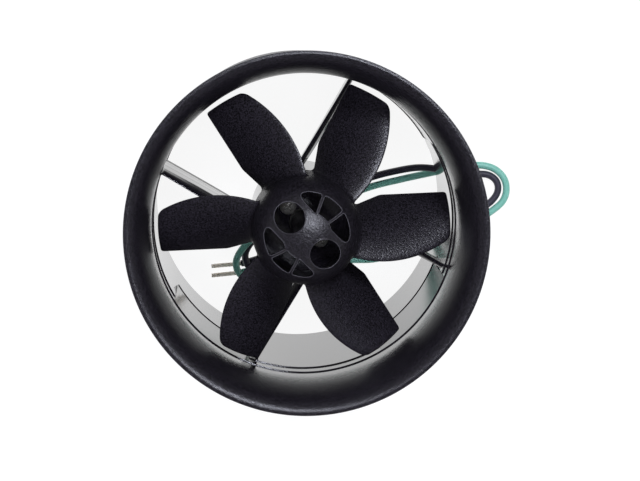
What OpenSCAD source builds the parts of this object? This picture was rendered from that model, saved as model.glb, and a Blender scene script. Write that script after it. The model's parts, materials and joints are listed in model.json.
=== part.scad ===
// Electric ducted fan for a model jet: a six-blade impeller on a small brushed
// motor, inside a bell-mouthed duct with four straightening vanes.
// Millimetres. The fan axis is Z, the inlet is up and the rear rim stands on z = 0.

/* [Duct] */
// Inside diameter of the duct
bore_d = 64.8; // [64.4:0.1:65.2]
// Wall thickness of the duct
wall = 1.4; // [1.2:0.1:1.6]
// Height of the inlet lip above the rear rim
lip_z = 78; // [76:0.5:80]
// Outside diameter of the inlet lip
lip_d = 77.2; // [76.5:0.1:79]
// Height of the seam between the inlet ring and the rotor shroud
inlet_seam_z = 55.4; // [55:0.2:56]
// Height of the four tongues of the stator housing
tongue_z = 50.4; // [50.2:0.2:51.4]
// Height at which the skirts of the rotor shroud end between the tongues
skirt_end_z = 32; // [31.6:0.2:33]
// Height of the lead notch in the rear rim
notch_h = 4; // [3.5:0.25:5]

/* [Impeller] */
// Number of impeller blades
blade_count = 6; // [5:1:7]
// Gap between a blade tip and the duct
tip_gap = 0.9; // [0.8:0.05:1.2]
// Diameter of the hub
hub_d = 23; // [22.8:0.1:24]
// Wall thickness of the hub
hub_wall = 1.2; // [1:0.1:1.4]
// Height of the nose dome
dome_h = 12.5; // [11.5:0.25:13.5]
// Thickest part of a blade at its root
blade_root_t = 1.9; // [1.6:0.1:2.2]
// Thickest part of a blade at its tip
blade_tip_t = 1.0; // [0.8:0.1:1.4]
// Diameter of the two screwdriver holes in the nose
access_d = 6.4; // [6:0.1:6.6]

/* [Stator] */
// Thickness of a vane
vane_t = 1.1; // [0.9:0.1:1.4]
// Outside diameter of the motor sleeve
sleeve_d = 22; // [21.8:0.1:22.4]
// Distance between the two fixing holes
lug_spacing = 73.4; // [73.2:0.1:73.8]
// Diameter of the fixing holes
lug_hole_d = 2.4; // [2:0.1:2.6]

/* [Motor] */
// Diameter of the motor can
can_d = 20.4; // [20:0.1:20.4]
// Width of the can across its flats
can_flat = 15.4; // [15:0.1:16]
// Length of the motor without its bosses
motor_l = 32; // [31:0.5:33]
// Diameter of the shaft
shaft_d = 2; // [1.9:0.1:2.3]
// Distance between the two motor screws
screw_spacing = 10; // [9.6:0.1:10.6]
// Diameter of a lead over its insulation
lead_d = 1.6; // [1.4:0.1:1.7]

/* [Hidden] */
$fn = 96;

// Radii and clearances
bore_r = bore_d / 2;
duct_r = bore_r + wall;
lip_r = lip_d / 2;
fit = 0.05;
shroud_r = duct_r + fit + wall;
cut = 1;
slack = 0.02;

// Inlet bell: a quarter ellipse from the throat, which is a little wider than the duct, to the lip
throat_step = 0.46;
throat_rise = 0.4;
rib_flare = 0.3;
bell_steps = 16;
lip_round = 0.6;
lip_edge = 0.6;
lip_undercut = 0.3;
socket_top_z = 62;
collar_z = 45;

// Joint between the rotor shroud and the stator housing: skirts of the shroud, each ending
// beside a vane and leaning inwards, between the tongues of the housing
vane_count = 4;
skirt_turn = 49.75;
skirt_arc = 37.5;
skirt_lean = 0.65;
skirt_play = 0.4;
tongue_arc = 360 / vane_count - skirt_arc;
notch_arc = 40;

// Impeller
tip_r = bore_r - tip_gap;
hub_r = hub_d / 2;
hub_base_z = 55.8;
dome_z = 70;
dome_steps = 12;
blade_turn = 2.5;
blade_root_r = hub_r - hub_wall / 2;
blade_stations = 8;
chord_stations = [0, 0.03, 0.1, 0.22, 0.36, 0.52, 0.68, 0.84, 1];
blade_camber = 0.055;
edge_t = 0.3;
// Leading edge: angle at the tip, sweep per millimetre inwards and its easing
le_tip_angle = 7.9;
le_sweep = 1.46;
le_ease = 0.01;
le_tip_z = 60.2;
le_rise = 0.66;
le_rise_ease = 0.011;
// Trailing edge: straight and parallel to the blade's radius, then radial to the hub
te_offset = 4.95;
te_root_angle = 16.5;
te_z = 53.4;
te_bend_r = 17.5;
te_root_rise = 0.55;
// Nose openings
motor_turn = 134;
access_r = 5.35;
window_line = 4.5;
window_in_r = 5.2;
window_out_r = 9;
spoke_turns = [-12, 23];
spoke_w = 0.6;
boss_d = 6;
boss_z = 56.8;
access_z = 72;

// Stator
vane_front_z = 50;
vane_rear_z = 28.5;
vane_line_angle = 58.5;
vane_line_offset = 7.35;
vane_lean_root = 1.5;
vane_lean_tip = 0.85;
vane_bend = 3;
vane_stations = 4;
vane_points = [0, 0.02, 0.07, 0.2, 0.45, 0.75, 1];
vane_nose = 0.07;
vane_taper = 0.5;
vane_sink = 0.4;
sleeve_rear_z = 28;
plate_t = 1.5;
lug_z = 40;
lug_t = 2.5;
lug_w = 4.6;
lug_turn = 0;
gusset_t = 1;
gusset_h = 6;
gusset_inset = 0.2;
gusset_foot = 0.3;
gusset_tip = 0.6;

// Motor, from its front face down
motor_front_z = 53.7;
motor_rear_z = motor_front_z - motor_l;
plate_z = motor_front_z + plate_t;
can_r = can_d / 2;
can_wall = 0.8;
bell_wall = 2.4;
bell_side = 2;
bell_lip_z = motor_rear_z + bell_wall + 1.6;
bell_spigot = 1.8;
boss_r = 3.075;
boss_h = 1.6;
bush_r = 2.1;
bush_l = 3;
bush_gap = 0.03;
shaft_r = shaft_d / 2;
shaft_top_z = 73;
shaft_tail = 0.2;
front_bush_z = motor_front_z + boss_h - bush_l;
rear_bush_z = motor_rear_z - boss_h;
magnet_t = 2.8;
magnet_arc = 112;
magnet_bottom_z = 30.5;
magnet_l = 18;
clip_half = 4.2;
clip_t = 0.4;
clip_l = 14;
core_r = 6.1;
core_bottom_z = 32;
core_l = 15;
pole_count = 3;
pole_arc = 100;
tooth_w = 3;
core_hub_r = 2.6;
shoe_t = 1.3;
coil_over = 2;
coil_in_r = 2.9;
coil_out_r = 4.6;
coil_w = 2;
coil_arc = 118;
coil_play = 0.05;
bar_r = 2.5;
bar_t = 0.5;
bar_gap_w = 0.4;
bar_bottom_z = 25.4;
bar_l = 3.4;
bar_turn = 60;
base_top_z = 29.4;
base_bottom_z = 24.6;
flange_r = 3;
flange_t = 0.5;
brush_z = 27;
brush_w = 1.4;
brush_h = 2;
brush_l = 1.6;
brush_gap = 0.04;
brush_bed = 0.4;
arm_t = 0.25;
arm_w = 1.8;
washer_r = 1.9;
washer_t = 0.4;
washer_play = 0.1;
screw_head_d = 3.6;
screw_head_h = 1.3;
screw_l = 3;
screw_r = 1;
screw_play = 0.1;
head_edge = 0.5;
head_crown = 0.72;
cross_l = 2.2;
cross_w = 0.5;
cross_h = 0.7;
tab_r = 5.2;
tab_w = 2.2;
tab_t = 0.4;
tab_tip_z = 18.6;
tab_turn = motor_turn + 90;
solder_r = 1.3;
solder_belly_z = 18.1;
solder_neck_z = 18.9;
solder_tip_r = 0.5;
solder_top_z = 19.4;
lead_top_z = 16.8;
lead_drop = 1.5;

// Lead routes: down from the terminals, round to the left, out under the rear rim,
// round in a loop and back to the stripped ends
lead_sides = 8;
lead_steps = 2;
function lead_start(turn) = [for (z = [lead_top_z, lead_top_z - lead_drop])
    [tab_r * cos(turn), tab_r * sin(turn), z]];
green_route = concat(lead_start(tab_turn), [
    [-3.93, -3.76, 13.85], [-4.5, -4.18, 12.55], [-5.39, -4.83, 11.55],
    [-6.55, -5.7, 10.95], [-9.4, -7.8, 10.3], [-12.4, -10.8, 9.2], [-14.1, -14, 7.4],
    [-13.7, -17.1, 5], [-11.5, -19.1, 2.8], [-8, -19.9, 1.3], [-3.8, -19.3, 0.8],
    [1, -17.6, 0.8], [6.5, -15.8, 0.8], [12, -15, 0.8], [18.5, -14.7, 0.8],
    [25, -12.5, 0.8], [31, -9.2, 0.8], [37, -7.1, 0.8], [42.2, -5.5, 0.8],
    [46, -3.1, 0.8], [48, -1.1, 0.8], [48.7, 1.5, 0.8], [48, 4.15, 0.8], [46, 6.1, 0.8],
    [43.2, 7, 0.8], [39.5, 6.9, 0.8], [35, 6.1, 0.8], [30, 5.1, 0.8], [24, 3.8, 0.8],
    [16.8, 2, 0.8], [9.5, -1.1, 0.8], [3.2, -6.3, 0.8], [-2.5, -12.4, 0.8],
    [-7.6, -16.3, 0.8], [-13, -17.8, 0.8]
]);
black_route = concat(lead_start(tab_turn + 180), [
    [3.56, 3.45, 13.85], [3.05, 2.96, 12.55], [2.2, 2.16, 11.55], [0.95, 1, 10.9],
    [-1.2, -1, 10.3], [-4, -3.5, 9.5], [-7.2, -6.3, 8.6], [-10.2, -9.3, 7.6],
    [-12, -12.5, 6.2], [-11.6, -15.4, 4.4], [-9.6, -17.3, 2.8], [-6.4, -17.9, 1.4],
    [-2.8, -17, 0.8], [1.6, -15.5, 0.8], [6.8, -13.9, 0.8], [12.1, -13.1, 0.8],
    [18.2, -12.8, 0.8], [24.2, -10.7, 0.8], [30.4, -7.3, 0.8], [36.4, -5.3, 0.8],
    [41.2, -3.8, 0.8], [44.4, -2, 0.8], [46.2, -0.1, 0.8], [46.75, 1.8, 0.8],
    [46.15, 3.6, 0.8], [44.4, 4.8, 0.9], [41.8, 5.1, 1.4], [38, 5.3, 2.4],
    [34.2, 6, 2.85], [30.9, 6.6, 2.6], [27.4, 6.6, 1.7], [23, 5.8, 0.9],
    [17.5, 4.4, 0.8], [9.8, 1.5, 0.8], [3.5, -3.4, 0.8], [-2.2, -9.5, 0.8],
    [-7.2, -13.8, 0.8], [-13, -15.7, 0.8]
]);
strand_r = 0.5;
green_tip = [-19.8, -18.5, 0.6];
black_tip = [-19.8, -16.3, 0.6];

black_plastic = "#1b191c";
nylon = "#e9e4d6";
steel = "#b9bcc0";
bronze = "#a9825a";
copper = "#c07a4a";
ferrite = "#3c3a3b";
green_pvc = "#55a58f";
black_pvc = "#34323a";
tin = "#d9d3c4";

function lerp(a, b, s) = a + (b - a) * s;
function polar(r, a) = [r * cos(a), r * sin(a)];

// Solid through cross-sections that are closed loops of equal length
module loft(sections, caps) {
    n = len(sections[0]);
    m = len(sections) - 1;
    points = [for (s = sections) each s];
    sides = [for (k = [0 : m - 1], i = [0 : n - 1])
        [k * n + i, k * n + (i + 1) % n, (k + 1) * n + (i + 1) % n, (k + 1) * n + i]];
    start = [for (c = caps) [for (i = [len(c) - 1 : -1 : 0]) c[i]]];
    end = [for (c = caps) [for (i = c) i + m * n]];
    polyhedron(points, concat(sides, start, end));
}

// Faces that close a blade section: strips between its two sides
function blade_caps(m) = concat(
    [[0, 1, 2 * m - 2]],
    [for (j = [1 : m - 2]) [j, j + 1, 2 * m - 2 - j, 2 * m - 1 - j]]
);

// A point at unrolled place [t, z] on the cylinder of radius r
function on_cylinder(r, turn, p) = [each polar(r, turn + p.x / r * 180 / PI), p.y];

// Half thickness of a blade along its chord: round nose, thin tail
function half_thickness(s, t) = edge_t / 2 * s
    + t * (1.4845 * sqrt(s) - 0.63 * s - 1.758 * s * s + 1.4215 * pow(s, 3) - 0.5075 * pow(s, 4));

// Blade edges at radius r, as [angle, height]
function leading_edge(r) = let (u = tip_r - r) [
    -(le_tip_angle + le_sweep * u - le_ease * u * u),
    le_tip_z + le_rise * u - le_rise_ease * u * u
];
function trailing_edge(r) = [
    r > te_bend_r ? asin(te_offset / r) : te_root_angle,
    te_z + te_root_rise * max(0, te_bend_r - r)
];

function blade_section(r) = let (
    arc = r * PI / 180,
    le = leading_edge(r),
    te = trailing_edge(r),
    a = [le.x * arc, le.y],
    chord = [te.x * arc, te.y] - a,
    up = [-chord.y, chord.x] / norm(chord),
    t = lerp(blade_root_t, blade_tip_t, (r - hub_r) / (tip_r - hub_r)),
    camber = blade_camber * norm(chord),
    last = len(chord_stations) - 1,
    side = function(s, way) on_cylinder(r, 0,
        a + chord * s + up * (4 * camber * s * (1 - s) + way * half_thickness(s, t)))
) concat(
    [for (s = chord_stations) side(s, 1)],
    [for (j = [last : -1 : 1]) side(chord_stations[j], -1)]
);

module blade() {
    loft([for (k = [0 : blade_stations])
            blade_section(lerp(blade_root_r, tip_r, k / blade_stations))],
        blade_caps(len(chord_stations)));
}

function vane_section(r) = let (
    turn = vane_line_angle + asin(vane_line_offset / r),
    lean = lerp(vane_lean_root, vane_lean_tip, (r - sleeve_d / 2) / (bore_r - sleeve_d / 2)),
    last = len(vane_points) - 1,
    side = function(s, way) on_cylinder(r, turn, [
        -lean * (1 - pow(1 - s, vane_bend)) + way * vane_t / 2 * min(1, sqrt(s / vane_nose)) * (1 - vane_taper * s),
        lerp(vane_front_z, vane_rear_z, s)
    ])
) concat(
    [for (s = vane_points) side(s, 1)],
    [for (j = [last : -1 : 1]) side(vane_points[j], -1)]
);

module vane() {
    root_r = sleeve_d / 2 - vane_sink;
    end_r = bore_r + wall / 2;
    loft([for (k = [0 : vane_stations]) vane_section(lerp(root_r, end_r, k / vane_stations))],
        blade_caps(len(vane_points)));
}

// Ring of rectangular section between two radii and two heights
module ring(r_in, r_out, z0, z1) {
    rotate_extrude() translate([r_in, z0]) square([r_out - r_in, z1 - z0]);
}

// Part of a ring, centred on an angle
module ring_sector(r_in, r_out, z0, z1, turn, arc) {
    rotate([0, 0, turn - arc / 2])
        rotate_extrude(angle = arc) translate([r_in, z0]) square([r_out - r_in, z1 - z0]);
}

// Upright cylinder between two heights, at a place in plan
module post(r, z0, z1, at = [0, 0]) {
    translate([at.x, at.y, z0]) cylinder(r = r, h = z1 - z0);
}

// Inlet ring: bell mouth with a rolled lip, and a spigot that sits in the shroud's socket
module inlet_ring() {
    throat_r = bore_r + throat_step;
    throat_z = inlet_seam_z + throat_rise;
    bell_r = lip_r - lip_round - throat_r;
    bell = [for (i = [0 : bell_steps]) let (a = 90 * i / bell_steps)
        [throat_r + bell_r * (1 - cos(a)), throat_z + (lip_z - throat_z) * sin(a)]];
    edge = [for (a = [60, 30, 0])
        [lip_r - lip_round + lip_round * cos(a), lip_z - lip_round + lip_round * sin(a)]];
    back_z = lip_z - lip_round - lip_edge;
    back_r = lip_r - lip_undercut;
    back = [for (i = [bell_steps : -1 : 0]) let (a = 90 * i / bell_steps)
        [shroud_r + (back_r - shroud_r) * (1 - cos(a)), socket_top_z + (back_z - socket_top_z) * sin(a)]];
    color(black_plastic) rotate_extrude() polygon(concat(
        [[throat_r, inlet_seam_z]], bell, edge, [[lip_r, back_z]], back,
        [[duct_r, socket_top_z], [duct_r, inlet_seam_z]]));
}

// Rotor shroud: collar round its two neighbours, rib between them, and skirts between the tongues
module rotor_shroud() {
    color(black_plastic) difference() {
        rotate_extrude() polygon([
            [bore_r - skirt_lean, skirt_end_z], [duct_r + fit, skirt_end_z], [duct_r + fit, collar_z],
            [shroud_r, collar_z], [shroud_r, socket_top_z], [duct_r + fit, socket_top_z],
            [duct_r + fit, inlet_seam_z], [bore_r + rib_flare, inlet_seam_z], [bore_r, tongue_z]]);
        for (k = [0 : vane_count - 1])
            ring_sector(bore_r - cut, duct_r + 1.5 * fit, skirt_end_z - cut, tongue_z,
                skirt_turn + 360 * (k + 0.5) / vane_count, tongue_arc);
    }
}

// Fixing lug on the outside of the duct, with a gusset on each side of its hole
module lug() {
    hole_r = lug_spacing / 2;
    root_r = duct_r - wall / 2;
    difference() {
        union() {
            translate([0, 0, lug_z]) linear_extrude(lug_t) union() {
                translate([root_r, -lug_w / 2]) square([hole_r - root_r, lug_w]);
                translate([hole_r, 0]) circle(d = lug_w);
            }
            for (y = [-lug_w / 2 + gusset_inset, lug_w / 2 - gusset_t - gusset_inset])
                translate([0, y + gusset_t, lug_z]) rotate([90, 0, 0]) linear_extrude(gusset_t)
                    polygon([[root_r, -gusset_h], [duct_r + gusset_foot, -gusset_h],
                        [hole_r - gusset_tip, 0], [hole_r - gusset_tip, lug_t / 2], [root_r, lug_t / 2]]);
        }
        post(lug_hole_d / 2, lug_z - gusset_h, lug_z + lug_t + cut, [hole_r, 0]);
    }
}

// Stator housing: rear duct with four tongues, vanes, motor sleeve with its front plate, two lugs
module stator_housing() {
    sleeve_r = sleeve_d / 2;
    color(black_plastic) difference() {
        union() {
            ring(bore_r, duct_r, 0, tongue_z - fit);
            rotate_extrude() polygon([
                [can_r + fit, sleeve_rear_z], [sleeve_r, sleeve_rear_z], [sleeve_r, plate_z],
                [boss_r + fit, plate_z], [boss_r + fit, motor_front_z], [can_r + fit, motor_front_z]]);
            for (k = [0 : vane_count - 1]) rotate([0, 0, 360 * k / vane_count]) vane();
            for (k = [0, 1]) rotate([0, 0, lug_turn + 180 * k]) lug();
        }
        for (k = [0 : vane_count - 1])
            ring_sector(bore_r - cut, duct_r + cut, skirt_end_z, tongue_z + cut,
                skirt_turn + 360 * k / vane_count, skirt_arc + skirt_play);
        for (k = [0, 1])
            post(screw_r + screw_play, motor_front_z - cut, plate_z + cut,
                polar(screw_spacing / 2, motor_turn + 180 * k));
        ring_sector(bore_r - cut, duct_r + cut, -cut, notch_h, 0, notch_arc);
    }
}

// Motor screws: pan heads on the front plate
module motor_screws() {
    color(steel) for (k = [0, 1])
        translate([each polar(screw_spacing / 2, motor_turn + 180 * k), 0]) difference() {
            union() {
                post(screw_r, plate_z - screw_l, plate_z);
                rotate_extrude() polygon([[0, plate_z], [screw_head_d / 2, plate_z],
                    [screw_head_d / 2, plate_z + screw_head_h * head_edge],
                    [screw_head_d / 2 * head_crown, plate_z + screw_head_h], [0, plate_z + screw_head_h]]);
            }
            for (turn = [0, 90]) rotate([0, 0, turn])
                translate([-cross_l / 2, -cross_w / 2, plate_z + screw_head_h - cross_h]) cube([cross_l, cross_w, cut]);
        }
}

// Outline of the can: round on two sides, flat on the others
module can_outline(inset) {
    rotate([0, 0, motor_turn]) intersection() {
        circle(r = can_r - inset);
        square([can_d, can_flat - 2 * inset], center = true);
    }
}

// Motor can: drawn steel cup, closed at the front with a bush boss
module motor_can() {
    color(steel) difference() {
        union() {
            translate([0, 0, bell_lip_z]) linear_extrude(motor_front_z - bell_lip_z) can_outline(0);
            post(boss_r, motor_front_z - can_wall, motor_front_z + boss_h);
        }
        translate([0, 0, bell_lip_z - cut])
            linear_extrude(motor_front_z - can_wall - bell_lip_z + cut) can_outline(can_wall);
        post(bush_r, front_bush_z - cut, motor_front_z + boss_h + cut);
        for (k = [0, 1])
            post(screw_r, motor_front_z - can_wall - cut, motor_front_z + cut,
                polar(screw_spacing / 2, motor_turn + 180 * k));
    }
}

// Sintered bush with a running fit on the shaft
module bush(z) {
    color(bronze) ring(shaft_r + bush_gap, bush_r, z, z + bush_l);
}

module front_bush() { bush(front_bush_z); }
module rear_bush() { bush(rear_bush_z); }

// Field magnets: two ferrite arcs on the round sides of the can
module field_magnets() {
    out_r = can_r - can_wall;
    color(ferrite) for (k = [0, 1])
        intersection() {
            ring_sector(out_r - magnet_t, out_r, magnet_bottom_z, magnet_bottom_z + magnet_l,
                motor_turn + 180 * k, magnet_arc);
            translate([0, 0, magnet_bottom_z - cut]) linear_extrude(magnet_l + 2 * cut)
                can_outline(can_wall + slack);
        }
}

// Spring clip that spreads the magnets apart on one flat side
module magnet_clip() {
    flat_y = can_flat / 2 - can_wall - fit - clip_t;
    color(steel) rotate([0, 0, motor_turn])
        translate([-clip_half, flat_y, magnet_bottom_z + (magnet_l - clip_l) / 2])
            cube([2 * clip_half, clip_t, clip_l]);
}

// End bell: nylon rear cap that carries the rear bush and the terminals
module end_bell() {
    color(nylon) difference() {
        union() {
            translate([0, 0, motor_rear_z]) linear_extrude(bell_lip_z - motor_rear_z) can_outline(0);
            translate([0, 0, motor_rear_z + cut])
                linear_extrude(bell_lip_z + bell_spigot - motor_rear_z - cut) can_outline(can_wall + slack);
            post(boss_r, rear_bush_z, motor_rear_z + cut);
        }
        translate([0, 0, motor_rear_z + bell_wall])
            linear_extrude(bell_lip_z + bell_spigot) can_outline(bell_side);
        post(bush_r, rear_bush_z - cut, motor_rear_z + bell_wall + cut);
        for (k = [0, 1]) rotate([0, 0, tab_turn + 180 * k])
            translate([tab_r - tab_t / 2 - slack, -tab_w / 2 - slack, motor_rear_z - cut])
                cube([tab_t + 2 * slack, tab_w + 2 * slack, bell_wall + 2 * cut]);
    }
}

// Terminals: two tabs through the end bell
module terminals() {
    color(copper) for (k = [0, 1]) rotate([0, 0, tab_turn + 180 * k])
        translate([tab_r - tab_t / 2, -tab_w / 2, tab_tip_z])
            cube([tab_t, tab_w, brush_z + arm_w / 2 - tab_tip_z]);
}

// Solder joints: a bead round each tab that holds the end of its lead
module solder_joints() {
    color(tin) for (k = [0, 1]) rotate([0, 0, tab_turn + 180 * k]) difference() {
        translate([tab_r, 0, 0]) rotate_extrude() polygon([
            [0, lead_top_z], [lead_d / 2, lead_top_z], [solder_r, solder_belly_z],
            [solder_r, solder_neck_z], [solder_tip_r, solder_top_z], [0, solder_top_z]]);
        translate([tab_r - tab_t / 2, -tab_w / 2, tab_tip_z]) cube([tab_t, tab_w, cut]);
    }
}

// Brush arms: springy strips from the terminals to the brushes
module brush_arms() {
    color(copper) for (k = [0, 1]) rotate([0, 0, tab_turn + 180 * k])
        translate([bar_r + brush_gap + brush_l, -brush_w / 2, brush_z - arm_w / 2])
            cube([tab_r - tab_t / 2 - bar_r - brush_gap - brush_l, arm_t, arm_w]);
}

// Carbon brushes: blocks that bear on the commutator, hollowed to its radius
module carbon_brushes() {
    color(ferrite) for (k = [0, 1]) rotate([0, 0, tab_turn + 180 * k]) difference() {
        translate([bar_r - brush_bed, -brush_w / 2, brush_z - brush_h / 2])
            cube([brush_l + brush_gap + brush_bed, brush_w, brush_h]);
        post(bar_r + brush_gap, brush_z - brush_h, brush_z + brush_h);
    }
}

// Three windows on one side of the nose: a segment with a round inner edge, cut by two spokes
module nose_windows() {
    translate([0, 0, dome_z]) linear_extrude(dome_h + cut) difference() {
        intersection() {
            circle(r = window_out_r);
            translate([window_line, -hub_r]) square([hub_r, hub_d]);
        }
        circle(r = window_in_r);
        for (a = spoke_turns) rotate([0, 0, a]) translate([0, -spoke_w / 2]) square([hub_r, spoke_w]);
    }
}

// Impeller: hub cup, domed nose with its openings, shaft boss and twisted blades
module impeller() {
    in_r = hub_r - hub_wall;
    dome = function(r, h) [for (i = [0 : dome_steps]) let (a = 90 * i / dome_steps)
        [r * cos(a), dome_z + h * sin(a)]];
    color(black_plastic) difference() {
        union() {
            rotate_extrude() polygon(concat(
                [[in_r, hub_base_z], [hub_r, hub_base_z]], dome(hub_r, dome_h),
                [for (i = [dome_steps : -1 : 0]) dome(in_r, dome_h - hub_wall)[i]]));
            post(boss_d / 2, boss_z, dome_z + dome_h - hub_wall);
            for (k = [0 : blade_count - 1]) rotate([0, 0, blade_turn + 360 * k / blade_count]) blade();
        }
        post(shaft_r, boss_z - cut, shaft_top_z);
        for (k = [0, 1]) {
            post(access_d / 2, access_z, dome_z + dome_h + cut, polar(access_r, motor_turn + 180 * k));
            rotate([0, 0, motor_turn - 90 + 180 * k]) nose_windows();
        }
    }
}

module motor_shaft() {
    color(steel) post(shaft_r, rear_bush_z + shaft_tail, shaft_top_z);
}

module washer(z) {
    color(nylon) ring(shaft_r, washer_r, z, z + washer_t);
}

module front_washer() { washer(front_bush_z - washer_t - washer_play); }
module rear_washer() { washer(rear_bush_z + bush_l + washer_play); }

// Armature core: laminated stack with three poles
module armature_core() {
    color(steel) translate([0, 0, core_bottom_z]) linear_extrude(core_l) difference() {
        union() {
            circle(r = core_hub_r);
            for (k = [0 : pole_count - 1]) rotate([0, 0, 360 * k / pole_count]) {
                translate([0, -tooth_w / 2]) square([core_r - shoe_t / 2, tooth_w]);
                intersection() {
                    difference() {
                        circle(r = core_r);
                        circle(r = core_r - shoe_t);
                    }
                    polygon([[0, 0], polar(2 * core_r, -pole_arc / 2), polar(2 * core_r, pole_arc / 2)]);
                }
            }
        }
        circle(r = shaft_r);
    }
}

// Armature windings: one coil round each tooth
module armature_windings() {
    out_w = tooth_w + 2 * coil_w;
    color(copper) for (k = [0 : pole_count - 1]) rotate([0, 0, 360 * k / pole_count])
        difference() {
            intersection() {
                translate([coil_in_r, -out_w / 2, core_bottom_z - coil_over])
                    cube([coil_out_r - coil_in_r, out_w, core_l + 2 * coil_over]);
                ring_sector(coil_in_r / 2, core_r - shoe_t - coil_play, 0, lip_z, 0, coil_arc);
            }
            translate([0, -tooth_w / 2 - slack, core_bottom_z - slack])
                cube([core_r, tooth_w + 2 * slack, core_l + 2 * slack]);
        }
}

// Commutator: plastic base with three copper bars
module commutator_base() {
    color(nylon) union() {
        ring(shaft_r, bar_r - bar_t, base_bottom_z, base_top_z);
        ring(shaft_r, flange_r, base_top_z - flange_t, base_top_z);
    }
}

module commutator_bars() {
    gap = bar_gap_w / bar_r * 180 / PI;
    color(copper) for (k = [0 : pole_count - 1])
        ring_sector(bar_r - bar_t, bar_r, bar_bottom_z, bar_bottom_z + bar_l,
            bar_turn + 360 * k / pole_count, 360 / pole_count - gap);
}

// Smooth curve through route points, each span cut into lead_steps
function spline(p, i, s) = let (
    last = len(p) - 1,
    a = p[max(i - 1, 0)], b = p[i], c = p[min(i + 1, last)], d = p[min(i + 2, last)]
) 0.5 * (2 * b + (c - a) * s + (2 * a - 5 * b + 4 * c - d) * s * s + (3 * b - a - 3 * c + d) * pow(s, 3));
function off_floor(p) = [p.x, p.y, max(p.z, lead_d / 2)];
function smooth_route(p) = concat(
    [for (i = [0 : len(p) - 2], k = [0 : lead_steps - 1]) off_floor(spline(p, i, k / lead_steps))],
    [p[len(p) - 1]]
);
function unit(v) = v / norm(v);
function along(p, i) = unit(p[min(i + 1, len(p) - 1)] - p[max(i - 1, 0)]);
// Sideways vector that stays square to the route, carried on from ring to ring
function carried(p, i, v) = let (d = along(p, i)) unit(v - d * (v * d));
function frames(p, i, v) = i == len(p) ? [] : let (w = carried(p, i, v)) concat([w], frames(p, i + 1, w));

// Round tube along a route
module tube(route, d) {
    p = smooth_route(route);
    side = frames(p, 0, [1, 0, 0]);
    rings = [for (i = [0 : len(p) - 1]) let (w = side[i], v = cross(along(p, i), w))
        [for (k = [lead_sides - 1 : -1 : 0]) let (a = 360 * k / lead_sides)
            p[i] + d / 2 * (w * cos(a) + v * sin(a))]];
    loft(rings, [[for (k = [0 : lead_sides - 1]) k]]);
}

module green_lead() { color(green_pvc) tube(green_route, lead_d); }
module black_lead() { color(black_pvc) tube(black_route, lead_d); }

// Stripped and tinned end of a lead, from the end of its insulation
module stripped_end(from, to) {
    d = to - from;
    color(tin) translate(from)
        rotate([0, acos(d.z / norm(d)), atan2(d.y, d.x)]) cylinder(r = strand_r, h = norm(d));
}

module green_lead_end() { stripped_end(green_route[len(green_route) - 1], green_tip); }
module black_lead_end() { stripped_end(black_route[len(black_route) - 1], black_tip); }

inlet_ring();
rotor_shroud();
stator_housing();
motor_screws();
motor_can();
front_bush();
field_magnets();
magnet_clip();
end_bell();
rear_bush();
brush_arms();
carbon_brushes();
terminals();
solder_joints();
green_lead();
black_lead();
green_lead_end();
black_lead_end();
impeller();
motor_shaft();
front_washer();
armature_core();
armature_windings();
commutator_base();
commutator_bars();
rear_washer();
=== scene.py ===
"""Looks of an electric ducted fan for a model jet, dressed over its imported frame.

Sizes are millimetres and become metres as each mesh is made. The fan's axis is Z, the
inlet looks up and the rear rim stands on the floor at z = 0.
"""

from __future__ import annotations

import json
import logging
import math
from dataclasses import dataclass
from enum import Enum
from typing import Callable, Optional, Protocol, Sequence

import bmesh
import bpy
import numpy as np
from bpy.types import Material, Mesh, Node, NodeSocket, NodeTree
from mathutils import Matrix, Vector
from mathutils.geometry import delaunay_2d_cdt

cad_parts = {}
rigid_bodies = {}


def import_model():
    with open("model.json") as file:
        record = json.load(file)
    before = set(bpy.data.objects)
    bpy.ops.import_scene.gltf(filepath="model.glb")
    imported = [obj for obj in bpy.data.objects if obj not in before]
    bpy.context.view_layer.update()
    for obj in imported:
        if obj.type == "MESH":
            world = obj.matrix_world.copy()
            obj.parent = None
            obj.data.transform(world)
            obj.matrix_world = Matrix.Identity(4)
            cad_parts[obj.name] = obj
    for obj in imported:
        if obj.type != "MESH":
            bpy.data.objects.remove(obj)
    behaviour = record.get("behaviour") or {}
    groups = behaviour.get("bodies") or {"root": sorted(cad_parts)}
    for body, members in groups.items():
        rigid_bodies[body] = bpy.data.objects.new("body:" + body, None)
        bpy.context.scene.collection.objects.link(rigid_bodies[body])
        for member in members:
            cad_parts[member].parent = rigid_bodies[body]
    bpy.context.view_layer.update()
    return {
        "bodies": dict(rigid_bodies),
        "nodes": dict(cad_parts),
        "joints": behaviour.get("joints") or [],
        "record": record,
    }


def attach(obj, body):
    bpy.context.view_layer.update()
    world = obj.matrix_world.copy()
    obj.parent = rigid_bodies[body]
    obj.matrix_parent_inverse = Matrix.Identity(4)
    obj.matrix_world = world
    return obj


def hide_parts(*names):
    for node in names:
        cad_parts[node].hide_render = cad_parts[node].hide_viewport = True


LOG = logging.getLogger("ducted_fan")
MM, MICRON = 1e-3, 1e-6
WELD = 2e-7  # points closer than this, in metres, are one
SHARP = 32.0  # degrees past which an edge stays sharp
MID = (0.3, 0.7)  # most of a noise lies between these
CLOUD_DETAIL = 4.0
FLAT_RELIEF = 0.5  # the middle of a bump
WHITE = (1.0, 1.0, 1.0, 1.0)
FLOAT_A, FLOAT_B, COLOUR_A, COLOUR_B, COLOUR_OUT = 2, 3, 6, 7, 2  # sockets of a Mix node
RING_INPUTS = {"Piece": "Object", "Copies": "Int", "First angle": "Float", "Finish": "Material"}
MATH, MIX = "ShaderNodeMath", "ShaderNodeMix"
NOISE, RANGE = "ShaderNodeTexNoise", "ShaderNodeMapRange"
Piece = bpy.types.Object
Pair = tuple[float, float]
Height = Callable[[np.ndarray], np.ndarray]
Plan = Callable[[float], np.ndarray]


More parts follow.
